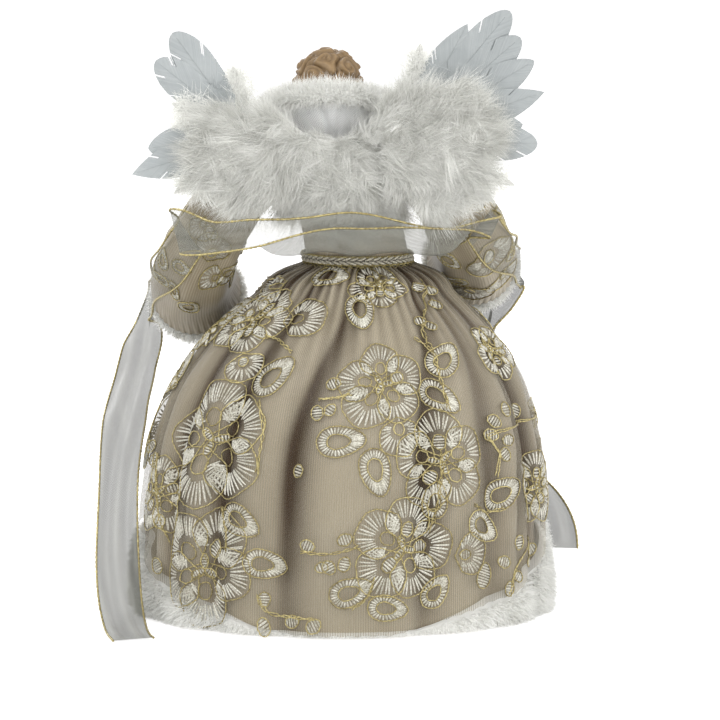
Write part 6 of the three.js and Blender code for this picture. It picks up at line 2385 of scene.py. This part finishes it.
@dataclass
class Studio:
    """Floor, world and lamps."""

    floor_size: float = 24.0
    key_power: float = 25.0
    fill_power: float = 21.0
    front_power: float = 18.0
    world_level: float = 0.42

    def floor(self) -> None:
        """Makes the pale floor, which reads as white to the camera and keeps the shadow."""
        half = self.floor_size / 2
        mesh = bpy.data.meshes.new("studio_floor")
        corners = [(-half, -half, 0), (half, -half, 0), (half, half, 0), (-half, half, 0)]
        mesh.from_pydata(corners, [], [(0, 1, 2, 3)])
        make = Shader(bpy.data.materials.new("studio_floor"))
        mesh.materials.append(make.done(make.surface({
            "Base Color": (0.86, 0.86, 0.86, 1), "Roughness": 0.9,
            "Emission Color": (1, 1, 1, 1),
            "Emission Strength": make.math("MULTIPLY", make.seen(), 0.7)})))
        piece = linked("studio_floor", mesh)
        piece.location.z = -0.0004

    def world(self) -> None:
        """Makes the world: white where it is seen, and a soft even light elsewhere."""
        make = Shader(bpy.data.worlds.new("studio_world"))
        level = self.world_level
        strength = make.math("MULTIPLY_ADD", make.seen(), 1 - level, level)
        light = make.node("Background", {"Strength": strength, "Color": (1, 1, 1, 1)}).outputs[0]
        bpy.context.scene.world = make.done(light, "OutputWorld")

    def lamp(self, name: str, place: Triple, size: float, power: float) -> None:
        """Makes a soft lamp that points at the figure.

        Args:
            name: The lamp's name.
            place: Where it stands, in metres.
            size: Its width, in metres.
            power: Its power, in watts.
        """
        data = bpy.data.lights.new(name, "AREA")
        data.shape = "SQUARE"
        data.size = size
        data.energy = power
        lamp = linked(name, data)
        lamp.location = place
        aim = Vector((0, 0, 0.15)) - Vector(place)
        lamp.rotation_euler = aim.to_track_quat("-Z", "Y").to_euler()

    def build(self) -> None:
        """Makes the whole studio."""
        self.floor()
        self.world()
        self.lamp("key_lamp", (0.9, 1.3, 1.5), 1.0, self.key_power)
        self.lamp("fill_lamp", (-1.5, 0.9, 0.8), 1.4, self.fill_power)
        self.lamp("front_lamp", (0.5, -1.7, 1.1), 1.4, self.front_power)
        bpy.context.scene.view_settings.view_transform = "Standard"


def dress_frame() -> None:
    """Gives each CAD node that stays in view its own finish."""
    finishes = {
        "hem_hoop": HOOP, "torso_form": FOAM, "neck_peg": DOWEL,
        "shoulder_wire": WIRE, "left_arm_wire": WIRE, "right_arm_wire": WIRE, "wing_tab": CARD,
        "left_wing_card": CARD, "right_wing_card": CARD,
    }
    finishes.update({f"former_panel_{index}": CARD for index in range(1, 7)})
    for name, finish in finishes.items():
        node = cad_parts[name]
        node.data.materials.clear()
        node.data.materials.append(material_of(finish))
        LOG.info("%s: finish %s", name, finish.name)


def main() -> None:
    """Builds the studio and every piece, in order."""
    logging.basicConfig(level=logging.INFO, format="%(name)s %(message)s")
    PHOTO.camera()
    Studio().build()
    dress_frame()

    skirt = Skirt()
    skirt.lining()
    skirt.overlay()
    skirt.hem_plush()
    work = Needlework(skirt, 11)
    embroider(work, SKIRT_SPOTS)
    for stem in SKIRT_STEMS:
        work.stem([skirt.found(column, row) for column, row in stem])
    embroider_front(work, skirt)
    for piece in work.build("skirt"):
        set_in(piece, "root", "tulle")

    torso = Torso()
    torso.bodice()
    torso.braid()
    torso.yoke()
    torso.collar()

    head = Head()
    head.face()
    head.hair()

    left = Arm()
    right = Arm(label="right", side=-1.0, spread=37.0, drop=56.0, seed=45)
    for arm, spots in ((left, LEFT_SLEEVE_SPOTS), (right, RIGHT_SLEEVE_SPOTS)):
        arm.sleeve()
        arm.cuff()
        arm.padding()
        arm.hand()
        arm.embroidery(spots)

    Wing().build()
    Wing(label="right", side=-1.0, fan=(34.0, 259.6),
         angles=(81, 62, 51.4, 42.2, 32.2, 19.7, 8, -1, -22, -34.5),
         lengths=(0.65, 0.88, 1.11, 1.03, 1.01, 0.98, 0.79, 0.88, 0.79, 0.72),
         tips=(0.5, 0.2, 0.9, 0.9, 0.6, 0.2, 0.5, 0.9, 0.5, 0.6), fluffy=(0, 8, 9),
         seed=71).build()
    DownPatch("left_fluff", "left_down", (49.0, 251.0), 37, 29, 35.2, 9, (50.0, 261.0),
              480, seed=81, source=(16.0, 262.0)).build()
    DownPatch("right_fluff", "right_down", (-49.0, 257.0), 36, 39, 37.8, 9, (-34.0, 259.6),
              600, seed=82, source=(-12.0, 252.0)).build()
    DownPatch("centre_fluff", "centre_down", (0.0, 238.5), 41, 28, 27.0, 15, None,
              680, seed=83, source=(2.0, 260.0)).build()
    Ribbon().build(left, right)


if __name__ == "__main__":
    main()
